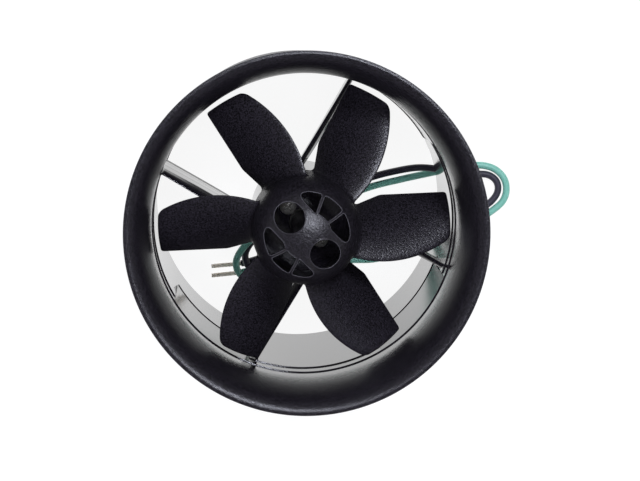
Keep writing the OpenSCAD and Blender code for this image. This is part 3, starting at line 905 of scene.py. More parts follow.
@dataclass
class Duct:
    """Inlet ring, rotor shroud and stator housing."""

    bore: float = 32.4
    wall: float = 1.4
    fit: float = 0.05
    segments: int = 288
    edge: float = 0.14
    seam_gap: float = 0.07
    seam_edge: float = 0.16
    break_gap: float = 0.2
    break_half: float = 0.03
    lip_r: float = 38.6
    lip_z: float = 78.0
    lip_round: float = 0.15
    lip_land: float = 0.55
    land_drop: float = 0.045
    lip_edge: float = 0.6
    lip_undercut: float = 0.3
    back_turn: float = 88.0
    throat_step: float = 0.46
    bell_z: float = 61.0
    rib_step: float = 0.23
    inlet_seam: float = 55.4
    tongue_z: float = 50.4
    skirt_end: float = 32.0
    skirt_turn: float = 49.75
    skirt_arc: float = 37.5
    skirt_lean: float = 0.65
    skirt_play: float = 0.4
    skirt_bead: float = 0.15
    bead_z: Pair = (0.3, 0.45)
    notch_arc: float = 40.0
    notch_h: float = 4.0
    socket_top: float = 62.0
    collar_z: float = 45.0
    collar_edge: float = 0.3
    sleeve_r: float = 11.0
    sleeve_in: float = 10.25
    sleeve_rear: float = 28.0
    sleeve_rounds: Pair = (0.3, 0.4)
    sleeve_edge: float = 0.1
    sleeve_segments: int = 144
    plate_z: float = 55.2
    plate_back: float = 53.7
    boss_hole: float = 3.125
    boss_edge: float = 0.15
    vane_copies: int = 4
    vane_front: float = 50.0
    vane_rear: float = 28.5
    vane_turn: float = 58.5
    vane_offset: float = 7.35
    vane_t: float = 1.1
    vane_sink: Pair = (0.4, 0.7)
    vane_near: tuple[float, ...] = (0.0, 0.1, 0.25, 0.45, 0.7)
    vane_plain: float = 1.2
    vane_nose: float = 0.05
    vane_blunt: float = 0.07
    vane_taper: float = 0.5
    vane_tail: float = 0.02
    vane_lean: Pair = (1.85, 1.15)
    vane_facet: tuple[Pair, ...] = ((11.0, 1.3), (18.0, 1.2), (24.0, 0.98), (32.4, 0.5))
    vane_knee: float = 0.16
    vane_kick: float = 0.16
    vane_kick_at: Pair = (0.935, 0.955)
    vane_marks: Pair = (0.42, 0.7)
    mark_w: float = 0.035
    mark_step: float = 0.06
    vane_fillets: Pair = (0.7, 0.35)
    lug_hole: float = 36.7
    lug_hole_r: float = 1.2
    lug_w: float = 4.6
    lug_z: float = 40.0
    lug_t: float = 2.5
    lug_edge: float = 0.2
    lug_sink: float = 0.7
    lug_step: float = 5.0
    gusset_t: float = 1.0
    gusset_h: float = 6.0
    gusset_foot: float = 0.3
    gusset_tip: float = 0.6
    gusset_sink: float = 1.0

    @property
    def outer(self) -> float:
        """Outside radius of the plain duct."""
        return self.bore + self.wall

    @property
    def shroud_r(self) -> float:
        """Outside radius of the shroud."""
        return self.outer + self.fit + self.wall

    def inlet_ring(self, finish: Material) -> Piece:
        """Bell mouth with a rolled lip.

        Args:
            finish: Its material.

        Returns:
            The finished piece.
        """
        e, soft, out = self.edge, self.lip_round, self.outer
        seam, throat = self.inlet_seam + self.seam_gap / 2, self.bore + self.throat_step
        land_r, land_z = self.lip_r - self.lip_land, self.lip_z - self.land_drop
        back_r, back_z = self.lip_r - self.lip_undercut, land_z - soft - self.lip_edge
        bell_axes = (throat - land_r, self.lip_z - self.bell_z)
        back_axes = (self.shroud_r - back_r, back_z - self.socket_top)
        profile = [
            *bowed((land_r, self.bell_z), bell_axes, 0, 90, 56),
            (land_r + 2 * self.land_drop, land_z),
            *rounded((self.lip_r - soft, land_z - soft), 90, 0, soft, 6),
            *rounded((self.lip_r - soft, back_z + soft), 0, -90, soft, 3),
            *bowed((back_r, self.socket_top), back_axes, self.back_turn, 0, 30),
            (out, self.socket_top), (out, seam), (throat + e, seam), (throat, seam + e),
        ]
        return mesh_piece("inlet_bell", lathe(profile, self.segments), finish, sharp=40)

    def skirt_breaks(self, play: float) -> list[float]:
        """Angles where the skirts begin and end, with some play in degrees.

        Args:
            play: Play in degrees.

        Returns:
            Angles in degrees.
        """
        half, pitch = (self.skirt_arc + play) / 2, 360 / self.vane_copies
        middles = [self.skirt_turn + k * pitch for k in range(self.vane_copies)]
        return [(middle + way * half) % 360 for middle in middles for way in (-1, 1)]

    def in_skirt(self, angle: float, play: float) -> bool:
        """Whether an angle lies in one of the skirts.

        Args:
            angle: Angle in degrees.
            play: Play in degrees.

        Returns:
            True inside a skirt.
        """
        pitch = 360 / self.vane_copies
        away = (angle - self.skirt_turn + pitch / 2) % pitch - pitch / 2
        return abs(away) < (self.skirt_arc + play) / 2

    def columns(self, breaks: Sequence[float], profile: Plan) -> Shell:
        """Turned ring whose outline changes at some angles.

        Args:
            breaks: Angles in degrees where the outline changes.
            profile: Outline at an angle.

        Returns:
            The closed ring.
        """
        angles = []
        for turn in (360 * k / self.segments for k in range(self.segments)):
            if min(abs((turn - b + 180) % 360 - 180) for b in breaks) > self.break_gap:
                angles.append(turn)
        for b in breaks:
            angles += [(b - self.break_half) % 360, (b + self.break_half) % 360]
        return around([(a, profile(a)) for a in sorted(angles)])

    def rotor_shroud(self, finish: Material) -> Piece:
        """Collar round both neighbours, rib between them, and skirts that lean inwards.

        Args:
            finish: Its material.

        Returns:
            The finished piece.
        """
        e, c, step, gap = self.edge, self.collar_edge, self.seam_edge, self.seam_gap / 2
        top, foot, wide, narrow = self.socket_top, self.collar_z, self.shroud_r, self.outer + self.fit
        seam, rib_r = self.inlet_seam - gap, self.bore + self.rib_step

        def outline(angle: float) -> np.ndarray:
            """Outline of the ring at an angle.

            Args:
                angle: Angle in degrees.

            Returns:
                Points of radius and height.
            """
            low, inner, bead = self.tongue_z + gap, rib_r, 0.0
            if self.in_skirt(angle, 0):
                low, inner = self.skirt_end + gap, self.bore - self.skirt_lean
                bead = self.skirt_bead
            bead_low, bead_top = self.bead_z
            return np.array([
                (inner + bead, low + bead_top), (inner, low + bead_low), (inner, low + e),
                (inner + e, low), (narrow, low), (narrow, foot + e), (narrow + e, foot),
                (wide - c, foot), (wide, foot + c), (wide, top - c), (wide - c, top),
                (narrow + e, top), (narrow, top - e), (narrow, seam),
                *rounded((rib_r + step, seam - step), 90, 180, step),
            ])

        return mesh_piece("shroud_ring", self.columns(self.skirt_breaks(0), outline), finish)

    def stator_housing(self, finish: Material, ring: CopyRing) -> Piece:
        """Rear duct with tongues and notch, vanes, motor sleeve and lugs.

        Args:
            finish: Its material.
            ring: Tree that sets copies round the axis.

        Returns:
            The finished piece.
        """
        e, step, bore, out = self.edge, self.seam_edge, self.bore, self.outer
        notch = self.notch_arc / 2

        def outline(angle: float) -> np.ndarray:
            """Outline of the rear duct at an angle.

            Args:
                angle: Angle in degrees.

            Returns:
                Points of radius and height.
            """
            low = self.notch_h if abs((angle + 180) % 360 - 180) < notch else 0.0
            under_skirt = self.in_skirt(angle, self.skirt_play)
            top = (self.skirt_end if under_skirt else self.tongue_z) - self.seam_gap / 2
            return np.array([
                (bore, low + e), (bore + e, low), (out - e, low), (out, low + e),
                (out, top - e), (out - e, top), *rounded((bore + step, top - step), 90, 180, step),
            ])

        breaks = [*self.skirt_breaks(self.skirt_play), notch, 360 - notch]
        parts = [mesh_piece("rear_duct", self.columns(breaks, outline) + self.sleeve(), finish)]
        for name, shell, copies in (("vane", self.vane(), self.vane_copies), ("lug", self.lug(), 2)):
            one = mesh_piece("one_" + name, shell, finish)
            parts.append(ring.make(name + "s", one, copies, 0, finish))
        return joined("stator_moulding", parts)

    def sleeve(self) -> Shell:
        """Motor sleeve with its front plate.

        Returns:
            The closed shell.
        """
        r, inner, hole = self.sleeve_r, self.sleeve_in, self.boss_hole
        rear, front, back = self.sleeve_rear, self.plate_z, self.plate_back
        e, c = self.sleeve_edge, self.boss_edge
        small, large = self.sleeve_rounds
        profile = [
            (inner + e, rear), (r - small, rear), *rounded((r - small, rear + small), -60, 0, small, 3),
            *rounded((r - large, front - large), 0, 90, large),
            (hole + c, front), (hole, front - c), (hole, back), (inner, back), (inner, rear + e),
        ]
        return lathe(profile, self.sleeve_segments)

    def vane_steps(self) -> np.ndarray:
        """Shares of a vane's depth from front to rear, close together where it bends.

        Returns:
            Shares from 0 to 1.
        """
        knee, front, past, end = self.vane_knee, 0.06, 0.006, 0.92
        tail = (0.975, 0.985, 0.995, 0.998, 1.0)
        marks = [at + edge for at in self.vane_marks for edge in (0.0, self.mark_w)]
        return np.concatenate([
            self.vane_nose * np.linspace(0, 1, 8) ** 2,
            np.linspace(front, knee, 8),
            np.sort(np.concatenate([np.linspace(knee + past, end, 14), marks])),
            [*self.vane_kick_at, *tail],
        ])

    def vane(self) -> Shell:
        """One straightening vane, flared where it joins the sleeve and the duct.

        Returns:
            The closed shell.
        """
        inner, outer, near = self.sleeve_r, self.bore, np.array(self.vane_near)
        plain = np.linspace(inner + self.vane_plain, outer - self.vane_plain, 22)
        stations = np.concatenate([
            [inner - self.vane_sink[0]], inner + near, plain, (outer - near)[::-1],
            [outer + self.vane_sink[1]],
        ])
        steps = self.vane_steps()
        ramp = np.minimum(1, steps / self.vane_knee)
        eased = 1 - (1 - np.interp(steps, (self.vane_knee, self.vane_kick_at[0]), (0, 1))) ** 2
        sunk = [np.clip((steps - at) / self.mark_w, 0, 1) for at in self.vane_marks]
        kicked = self.vane_kick * np.clip(np.interp(steps, self.vane_kick_at, (0, 1)), 0, 1)
        settled = sum(self.mark_step * mark for mark in sunk) + kicked
        body = self.vane_t / 2 * np.minimum(1, np.sqrt(steps / self.vane_blunt))
        body = body * (1 - self.vane_taper * steps)
        body = body * np.sqrt(np.clip((1 - steps) / self.vane_tail, 0, 1))
        rings = []
        for r in stations:
            gap = min(abs(r - inner), abs(outer - r)) if inner <= r <= outer else 0.0
            fillet = self.vane_fillets[int(r > (inner + outer) / 2)]
            x = min(1.0, gap / fillet)
            flare = fillet * (1 - math.sqrt(max(0.0, 1 - (1 - x) ** 2)))
            turn = self.vane_turn + math.degrees(math.asin(self.vane_offset / r))
            share = (r - inner) / (outer - inner)
            lean = self.vane_lean[0] + (self.vane_lean[1] - self.vane_lean[0]) * share
            facet = float(np.interp(r, *zip(*self.vane_facet)))
            drift = -facet * ramp - (lean - facet - settled[-1]) * eased - settled
            half = body + flare * np.minimum(1, np.sqrt(steps / self.vane_tail))
            depth = self.vane_rear - flare - self.vane_front - flare
            heights = self.vane_front + flare + depth * steps
            across = np.concatenate([drift + half, (drift - half)[:0:-1]])
            up = np.concatenate([heights, heights[:0:-1]])
            rings.append(level(polar(r, turn + np.degrees(across / r)), up))
        return skin(np.array(rings), caps=True)

    def lug(self) -> Shell:
        """One fixing lug on +X, with a hole and two gussets.

        Returns:
            The shells of lug and gussets.
        """
        centre, e, hole, half = self.lug_hole, self.lug_edge, self.lug_hole_r, self.lug_w / 2
        root, low, top = self.outer - self.lug_sink, self.lug_z, self.lug_z + self.lug_t
        none, rings = 1e-9, []
        for t in np.radians(np.arange(0, 360, self.lug_step)):
            cos, sin = math.cos(t), math.sin(t)
            reach = half
            if cos < -none:
                reach = min((centre - root) / -cos, half / max(abs(sin), none))
            profile = (
                (hole, low + e), (hole + e, low), (reach - e, low), (reach, low + e),
                (reach, top - e), (reach - e, top), (hole + e, top), (hole, top - e),
            )
            rings.append([(centre + r * cos, r * sin, z) for r, z in profile])
        shell = skin(np.array(rings), loop=True)
        foot, tip = self.outer + self.gusset_foot, centre - self.gusset_tip
        base, inset, sunk = low - self.gusset_h, half - self.lug_edge, low + self.gusset_sink
        wedge = ((root, base), (foot, base), (tip, low), (tip, sunk), (root, sunk))
        for side in (-inset, inset - self.gusset_t):
            loops = [[(x, y, z) for x, z in wedge] for y in (side, side + self.gusset_t)]
            shell = shell + skin(np.array(loops), caps=True)
        return shell


@dataclass
class Impeller:
    """Hub with its pierced nose, and the twisted blades."""

    copies: int = 6
    first: float = 2.5
    tip_r: float = 31.5
    hub_r: float = 11.5
    hub_wall: float = 1.2
    base_z: float = 55.8
    base_round: float = 0.25
    base_edge: float = 0.1
    dome_z: float = 70.0
    dome_h: float = 12.5
    gate: tuple[float, float, float] = (0.1, 0.62, 0.16)
    nose_r: float = 10.0
    nose_in_r: float = 9.4
    nose_steps: Pair = (0.3, 0.6)
    root_t: float = 1.9
    tip_t: float = 1.0
    edge_t: float = 0.3
    camber: float = 0.055
    fillet: float = 0.9
    fillet_reach: float = 0.6
    fillet_nose: float = 0.03
    corner: Pair = (1.1, 0.7)
    tip_soft: float = 0.22
    tip_least: float = 0.04
    lead_turn: tuple[float, float, float] = (7.9, 1.46, -0.01)
    lead_z: tuple[float, float, float] = (60.2, 0.66, -0.011)
    trail_offset: float = 4.95
    trail_turn: float = 16.5
    trail_z: float = 53.4
    trail_rise: float = 0.55
    trail_bend: float = 17.5
    foil: tuple[float, ...] = (1.4845, -0.63, -1.758, 1.4215, -0.5075)
    near: tuple[float, ...] = (-0.6, -0.2, 0, 0.05, 0.13, 0.25, 0.45, 0.7, 1.0)
    far: tuple[float, ...] = (1.2, 0.95, 0.72, 0.52, 0.36, 0.24, 0.15, 0.08, 0.03, 0.0)
    plain: Pair = (1.5, 1.7)
    motor_turn: float = 134.0
    hole_r: float = 3.2
    hole_reach: float = 5.35
    window_line: float = 4.5
    window_in: float = 5.2
    window_out: float = 9.0
    window_trims: tuple[float, float, float, float] = (0.25, 0.5, 2.2, 0.08)
    spokes: Pair = (-12.0, 23.0)
    spoke_w: float = 0.6
    edge: float = 0.08
    bead_w: float = 0.14
    bead_h: float = 0.15
    boss_r: float = 3.0
    boss_z: float = 56.8
    boss_edge: float = 0.3
    boss_step: float = 2.5
    boss_sink: float = 1.0
    relief_z: Pair = (58.0, 74.0)
    segments: int = 192

    def outlines(self) -> list[Outline]:
        """The eight openings of the nose.

        Returns:
            Their outlines in plan.
        """
        made: list[Outline] = []
        for half in (0, 180):
            x, y = polar(self.hole_reach, self.motor_turn + half)
            made.append(RoundHole((float(x), float(y)), self.hole_r))
            made += self.nose_windows(self.motor_turn - 90 + half)
        return made

    def nose_windows(self, turn: float) -> list[Outline]:
        """Three windows on one side of the nose, parted by two spokes.

        Args:
            turn: Middle angle of the side in degrees.

        Returns:
            Their outlines in plan.
        """

        def place(reach: float, angle: float, way: int = 0) -> Pair:
            """Plan point at a radius, on a ray or where an edge of a spoke meets the circle.

            Args:
                reach: Radius.
                angle: Angle from the side's middle.
                way: Side of the spoke, or 0 on a ray.

            Returns:
                The plan point.
            """
            lean = math.degrees(math.asin(self.spoke_w / 2 / reach))
            x, y = polar(reach, turn + (angle + way * lean))
            return float(x), float(y)

        inner, outer = self.window_in, self.window_out
        near, far = (math.degrees(math.acos(self.window_line / r)) for r in (inner, outer))
        low, high = self.spokes
        small, middle, large, least = self.window_trims
        first = (
            place(inner, -near), place(outer, -far), place(outer, low, -1), place(inner, low, -1)
        )
        second = (
            place(inner, low, 1), place(outer, low, 1), place(outer, high, -1), place(inner, high, -1)
        )
        third = (
            place(inner, high, 1), place(outer, high, 1), place(outer, far), place(inner, near)
        )
        return [
            NoseWindow(first, (False, True, False, True), (small, large, middle, small)),
            NoseWindow(second, (False, True, False, True), (small, middle, middle, small)),
            NoseWindow(third, (False, True, False, False), (least, middle, large, least)),
        ]

    def outer_height(self, plan: np.ndarray) -> np.ndarray:
        """Height of the nose, with the gate mark at its tip.

        Args:
            plan: Plan points.

        Returns:
            Height at each point.
        """
        r = np.hypot(*plan.T)
        dome = self.dome_z + self.dome_h * np.sqrt(np.maximum(0, 1 - (r / self.hub_r) ** 2))
        depth, reach, width = self.gate
        return dome - depth * np.exp(-(((r - reach) / width) ** 2))

    def inner_height(self, plan: np.ndarray) -> np.ndarray:
        """Height of the nose's underside.

        Args:
            plan: Plan points.

        Returns:
            Height at each point.
        """
        r = np.hypot(*plan.T)
        share = np.sqrt(np.maximum(0, 1 - (r / (self.hub_r - self.hub_wall)) ** 2))
        return self.dome_z + (self.dome_h - self.hub_wall) * share

    def opening(self, outline: Outline) -> Shell:
        """Wall of one opening, with a bead round its rounded edge.

        Args:
            outline: Outline of the opening.

        Returns:
            The wall, open at its rear.
        """
        rows = []
        for share in (1.0, 0.7, 0.4, 0.15):
            rise = self.bead_h * math.cos(share * math.pi / 2) ** 2
            rows.append((self.edge + self.bead_w * share, rise))
        for t in np.radians(np.linspace(0, 90, 5)):
            drop = self.edge * (1 - math.cos(t)) - self.bead_h
            rows.append((self.edge * (1 - math.sin(t)), -drop))
        rings = []
        for grow, rise in rows:
            plan = outline.points(grow)
            rings.append(level(plan, self.outer_height(plan) + rise))
        plan = outline.points(0)
        return skin(np.array([*rings, level(plan, self.inner_height(plan))]))

    def hub(self) -> Shell:
        """Cup with the domed nose, its openings and the shaft boss.

        Returns:
            The shells of the hub.
        """
        outlines, span, base, soft = self.outlines(), self.segments, self.base_z, self.base_round
        rim, e = self.edge + self.bead_w, self.base_edge
        out_r, in_r = self.hub_r, self.hub_r - self.hub_wall
        tops, plain = [o.points(rim) for o in outlines], [o.points(0) for o in outlines]
        fine, coarse = self.nose_steps
        shell = pierced_disc(self.nose_r, tops, self.outer_height, fine, span)
        shell = shell + pierced_disc(self.nose_in_r, plain, self.inner_height, coarse, span)
        for outline in outlines:
            shell = shell + self.opening(outline)
        bend_out = math.degrees(math.acos(self.nose_r / out_r))
        bend_in = math.degrees(math.acos(self.nose_in_r / in_r))
        wall = [
            *bowed((0.0, self.dome_z), (out_r, self.dome_h), bend_out, 0, 14),
            *rounded((out_r - soft, base + soft), 0, -90, soft, 3),
            (in_r + e, base), (in_r, base + e),
            *bowed((0.0, self.dome_z), (in_r, self.dome_h - self.hub_wall), 0, bend_in, 10),
        ]
        return shell + lathe(wall, span, closed=False) + self.boss()

    def boss(self) -> Shell:
        """Shaft boss under the nose, relieved where the screwdriver holes pass it.

        Returns:
            The closed shell.
        """
        turns = np.arange(0, 360, self.boss_step)
        away = np.abs((turns - self.motor_turn + 90) % 180 - 90)
        narrow = np.array([min(self.boss_r, self.relief(float(t))) for t in away])
        wide, e = np.full(len(turns), self.boss_r), self.boss_edge
        low, high = self.relief_z
        top = self.dome_z + self.dome_h - self.boss_sink
        rows = (
            (wide - e, self.boss_z), (wide, self.boss_z + e), (wide, low), (narrow, high), (narrow, top)
        )
        return skin(np.array([level(polar(reach, turns), z) for reach, z in rows]), caps=True)

    def relief(self, degrees: float) -> float:
        """Distance along a ray to a screwdriver hole, without end where it misses it.

        Args:
            degrees: Angle between the ray and the hole's middle.

        Returns:
            The distance.
        """
        along = self.hole_reach * math.cos(math.radians(degrees))
        aside = self.hole_reach * math.sin(math.radians(degrees))
        if aside >= self.hole_r:
            return math.inf
        return along - math.sqrt(self.hole_r**2 - aside**2)

    def leading(self, r: float) -> Pair:
        """Angle and height of the leading edge at a radius.

        Args:
            r: Radius.

        Returns:
            Angle in degrees, and height.
        """
        u = self.tip_r - r
        turn, height = (c[0] + c[1] * u + c[2] * u * u for c in (self.lead_turn, self.lead_z))
        return -turn, height

    def trailing(self, r: float) -> Pair:
        """Angle and height of the trailing edge: straight outside, radial near the hub.

        Args:
            r: Radius.

        Returns:
            Angle in degrees, and height.
        """
        straight = r > self.trail_bend
        turn = math.degrees(math.asin(self.trail_offset / r)) if straight else self.trail_turn
        return turn, self.trail_z + self.trail_rise * max(0.0, self.trail_bend - r)

    def section(self, r: float) -> np.ndarray:
        """Closed blade section at a radius, wrapped on its cylinder.

        Args:
            r: Radius.

        Returns:
            Points of the section in order.
        """
        arc, left, soft = math.radians(r), self.tip_r - r, self.tip_soft
        first, last = self.leading(r), self.trailing(r)
        nose = np.array([first[0] * arc, first[1]])
        chord = np.array([last[0] * arc, last[1]]) - nose
        length = float(np.hypot(*chord))
        up = np.array([-chord[1], chord[0]]) / length
        share = (r - self.hub_r) / (self.tip_r - self.hub_r)
        thick = self.root_t + (self.tip_t - self.root_t) * share
        x = min(1.0, max(0.0, (r - self.hub_r) / self.fillet))
        flare = self.fillet * (1 - math.sqrt(1 - (1 - x) ** 2))
        trims = [
            c - math.sqrt(max(0.0, c * c - (c - left) ** 2)) if left < c else 0.0
            for c in self.corner
        ]
        squeeze = 1.0
        if left < soft:
            squeeze = math.sqrt(max(self.tip_least, 1 - ((soft - left) / soft) ** 2))
        s = (1 - np.cos(np.linspace(0, math.pi, 29))) / 2
        begin, end = ((trim - flare * self.fillet_reach) / length for trim in trims)
        at = begin + (1 - end - begin) * s
        a, b, c, d, e = self.foil
        foil = a * np.sqrt(s) + b * s + c * s**2 + d * s**3 + e * s**4
        half = (self.edge_t / 2 * s + thick * foil) * squeeze
        half = half + flare * np.minimum(1, np.sqrt(s / self.fillet_nose))
        arch = 4 * self.camber * length * at * (1 - at)
        line = nose + np.outer(at, chord)
        flat = np.vstack([line + np.outer(arch + half, up), (line + np.outer(arch - half, up))[:0:-1]])
        return level(polar(r, np.degrees(flat[:, 0] / r)), flat[:, 1])

    def blade(self) -> Shell:
        """One blade with a fillet at its root and rounded corners at its tip.

        Returns:
            The closed shell.
        """
        low, high = self.hub_r + self.plain[0], self.tip_r - self.plain[1]
        near, far = self.hub_r + np.array(self.near), self.tip_r - np.array(self.far)
        stations = np.concatenate([near, np.linspace(low, high, 26), far])
        return skin(np.array([self.section(float(r)) for r in stations]), caps=True)

    def build(self, finish: Material, ring: CopyRing) -> Piece:
        """Hub and blades as one moulding.

        Args:
            finish: Its material.
            ring: Tree that sets copies round the axis.

        Returns:
            The finished piece.
        """
        hub = mesh_piece("hub", self.hub(), finish, sharp=38)
        blade = mesh_piece("one_blade", self.blade(), finish, sharp=50)
        blades = ring.make("blades", blade, self.copies, self.first, finish)
        return joined("impeller_moulding", [hub, blades], sharp=38)


@dataclass
class Motor:
    """What shows of the motor: can, end bell, screws, tabs and solder."""

    can_r: float = 10.2
    flat: float = 7.7
    turn: float = Impeller.motor_turn
    step: float = 1.5
    can_wall: float = 0.8
    shoulder: float = 1.1
    lip_edge: float = 0.12
    inner_round: float = 0.6
    front: float = Duct.plate_back
    lip: float = 25.7
    rear: float = 21.7
    bell_rim: float = 0.5
    bell_well: tuple[Pair, ...] = ((0.1, 0.15), (0.3, 0.3))
    bell_step: tuple[Pair, ...] = ((1.25, 0.3), (1.05, 0.1), (0.9, 0.0))
    fit: float = 0.02
    boss_r: float = 3.075
    boss_h: float = 1.6
    boss_edge: float = 0.2
    bush_r: float = 2.1
    screw_reach: float = 5.0
    screw_r: float = 1.0
    screw_sink: float = 3.0
    plate_z: float = Duct.plate_z
    head_r: float = 1.8
    head_h: float = 1.3
    head_top: float = 1.3
    head_crown: float = 0.16
    head_round: float = 0.42
    head_round_z: float = 0.62
    head_edge: float = 0.1
    head_step: float = 0.2
    recess: CrossRecess = CrossRecess(1.1, 0.5)
    recess_grow: Pair = (0.03, -0.12)
    recess_h: float = 0.7
    tab_r: float = 5.2
    tab_w: float = 2.2
    tab_t: float = 0.4
    tab_edge: float = 0.06
    tab_tip: float = 18.6
    tab_top: float = 27.9
    solder: tuple[Pair, ...] = (
        (0.0, 16.8), (0.8, 16.8), (0.98, 17.2), (1.2, 17.75), (1.3, 18.2), (1.28, 18.6),
        (1.12, 19.0), (0.82, 19.28), (0.5, 19.4), (0.0, 19.4),
    )
    solder_sag: Pair = (0.1, 0.06)

    def outline(self, inset: float) -> np.ndarray:
        """Can outline in plan: round on two sides and flat on the others.

        Args:
            inset: Millimetres inside the can's face.

        Returns:
            Plan points in order.
        """
        turns, none = np.arange(0, 360, self.step), 1e-6
        across = np.maximum(np.abs(np.sin(np.radians(turns))), none)
        return polar(np.minimum(self.can_r - inset, (self.flat - inset) / across), turns + self.turn)

    def circle(self, radius: float) -> np.ndarray:
        """Plan circle with the can outline's count of points."""
        return polar(radius, np.arange(0, 360, self.step) + self.turn)

    def stack(self, rows: Sequence[tuple[Plan, float, float]]) -> Shell:
        """Closed shell through rows: outline or circle, its inset or radius, and its height."""
        return skin(np.array([level(plan(size), z) for plan, size, z in rows]), loop=True)

    def can(self, finish: Material) -> Piece:
        """Drawn can: rounded shoulder, front boss and open rear.

        Args:
            finish: Its material.

        Returns:
            The finished piece.
        """
        can, disc, wall, soft = self.outline, self.circle, self.can_wall, self.shoulder
        e, c, boss, bush = self.lip_edge, self.boss_edge, self.boss_r, self.bush_r
        top, back, bend = self.front + self.boss_h, self.front - wall, self.inner_round
        turns = np.radians(np.linspace(0, 90, 6))
        rows = [
            (can, wall, self.lip), (can, e, self.lip), (can, 0, self.lip + e),
            *((can, soft * (1 - math.cos(t)), self.front - soft + soft * math.sin(t)) for t in turns),
            (disc, boss + c, self.front), (disc, boss, self.front + c), (disc, boss, top - c),
            (disc, boss - c, top), (disc, bush, top), (disc, bush, back),
            (can, wall + bend, back), (can, wall, back - bend),
        ]
        return mesh_piece("drawn_can", self.stack(rows), finish)

    def bell(self, finish: Material) -> Piece:
        """Nylon rear cap with a rounded rim, a shallow well and the bush boss.

        Args:
            finish: Its material.

        Returns:
            The finished piece.
        """
        can, disc, rear, low = self.outline, self.circle, self.rear, self.rear - self.boss_h
        e, c, boss, bush, soft = self.lip_edge, self.boss_edge, self.boss_r, self.bush_r, self.bell_rim
        turns = np.radians(np.linspace(0, 90, 5))
        rows = [
            (disc, bush, low), (disc, boss - c, low), (disc, boss, low + c),
            *((disc, boss + r, rear + z) for r, z in self.bell_well),
            *((can, inset, rear + z) for inset, z in self.bell_step),
            *((can, soft * (1 - math.sin(t)), rear + soft - soft * math.cos(t)) for t in turns),
            (can, 0, self.lip - e), (can, e, self.lip), (can, self.can_wall + self.fit, self.lip),
            (disc, bush, self.lip),
        ]
        return mesh_piece("end_cap", self.stack(rows), finish)

    def head_height(self, plan: np.ndarray) -> np.ndarray:
        """Height of the pan head over plan points."""
        r = np.hypot(plan[:, 0], plan[:, 1])
        return self.plate_z + self.head_h - self.head_crown * (r / self.head_top) ** 2

    def screws(self, finish: Material, ring: CopyRing) -> Piece:
        """Two pan heads with a cross recess.

        Args:
            finish: Its material.
            ring: Tree that sets copies round the axis.

        Returns:
            The finished piece.
        """
        r, e, soft, segments = self.head_r, self.head_edge, self.head_round, 64
        plate, top = self.plate_z, self.plate_z + self.head_h
        mouth, floor = (self.recess.points(grow) for grow in self.recess_grow)
        bottom, end = level(floor, top - self.recess_h), plate - self.screw_sink
        shell = pierced_disc(self.head_top, [mouth], self.head_height, self.head_step, segments)
        shell = shell + skin(np.array([level(mouth, self.head_height(mouth)), bottom]))
        shell = shell + Shell(bottom, [tuple(range(len(floor)))])
        side = [
            (self.head_top, top - self.head_crown),
            *rounded((r - soft, plate + self.head_round_z), 62, 0, soft, 5),
            (r, plate + e), (r - e, plate), (self.screw_r, plate), (self.screw_r, end), (0.0, end),
        ]
        shell = shell + lathe(side, segments, closed=False)
        screw = mesh_piece("one_screw", shell.moved(self.screw_reach), finish, sharp=30)
        return ring.make("pan_head_screws", screw, 2, self.turn, finish)

    def tabs(self, finish: Material, ring: CopyRing) -> Piece:
        """Two terminal tabs with bevelled edges and a waist above the solder.

        Args:
            finish: Its material.
            ring: Tree that sets copies round the axis.

        Returns:
            The finished piece.
        """
        tip, top, c, t = self.tab_tip, self.tab_top, self.tab_edge, self.tab_t / 2
        rows = (
            (tip, 0.72), (tip + 0.3, 0.92), (tip + 1.2, 1.0), (tip + 2.0, 0.7),
            (tip + 3.0, 0.7), (tip + 3.6, 1.0), (top - 0.1, 1.0), (top, 0.94),
        )
        rings = []
        for z, share in rows:
            w = self.tab_w / 2 * share
            plan = (
                (t - c, -w), (t, -w + c), (t, w - c), (t - c, w),
                (-t + c, w), (-t, w - c), (-t, -w + c), (-t + c, -w),
            )
            rings.append([(self.tab_r + x, y, z) for x, y in plan])
        tab = mesh_piece("one_tab", skin(np.array(rings), caps=True), finish)
        return ring.make("terminal_tabs", tab, 2, self.turn + 90, finish)

    def beads(self, finish: Material, ring: CopyRing) -> Piece:
        """Two solder beads, slumped a little to one side.

        Args:
            finish: Its material.
            ring: Tree that sets copies round the axis.

        Returns:
            The finished piece.
        """
        shell = lathe(self.solder, 48, closed=False)
        low, high = self.solder[0][1], self.solder[-1][1]
        lean, swell = self.solder_sag
        x, y, z = shell.points.T
        sag = np.sin((z - low) / (high - low) * math.pi)
        slumped = np.column_stack([x + lean * sag * (y > 0) * y, y * (1 + swell * sag), z])
        shell = Shell(slumped, shell.faces).moved(self.tab_r)
        bead = mesh_piece("one_bead", shell, finish, sharp=60)
        return ring.make("solder_beads", bead, 2, self.turn + 90, finish)


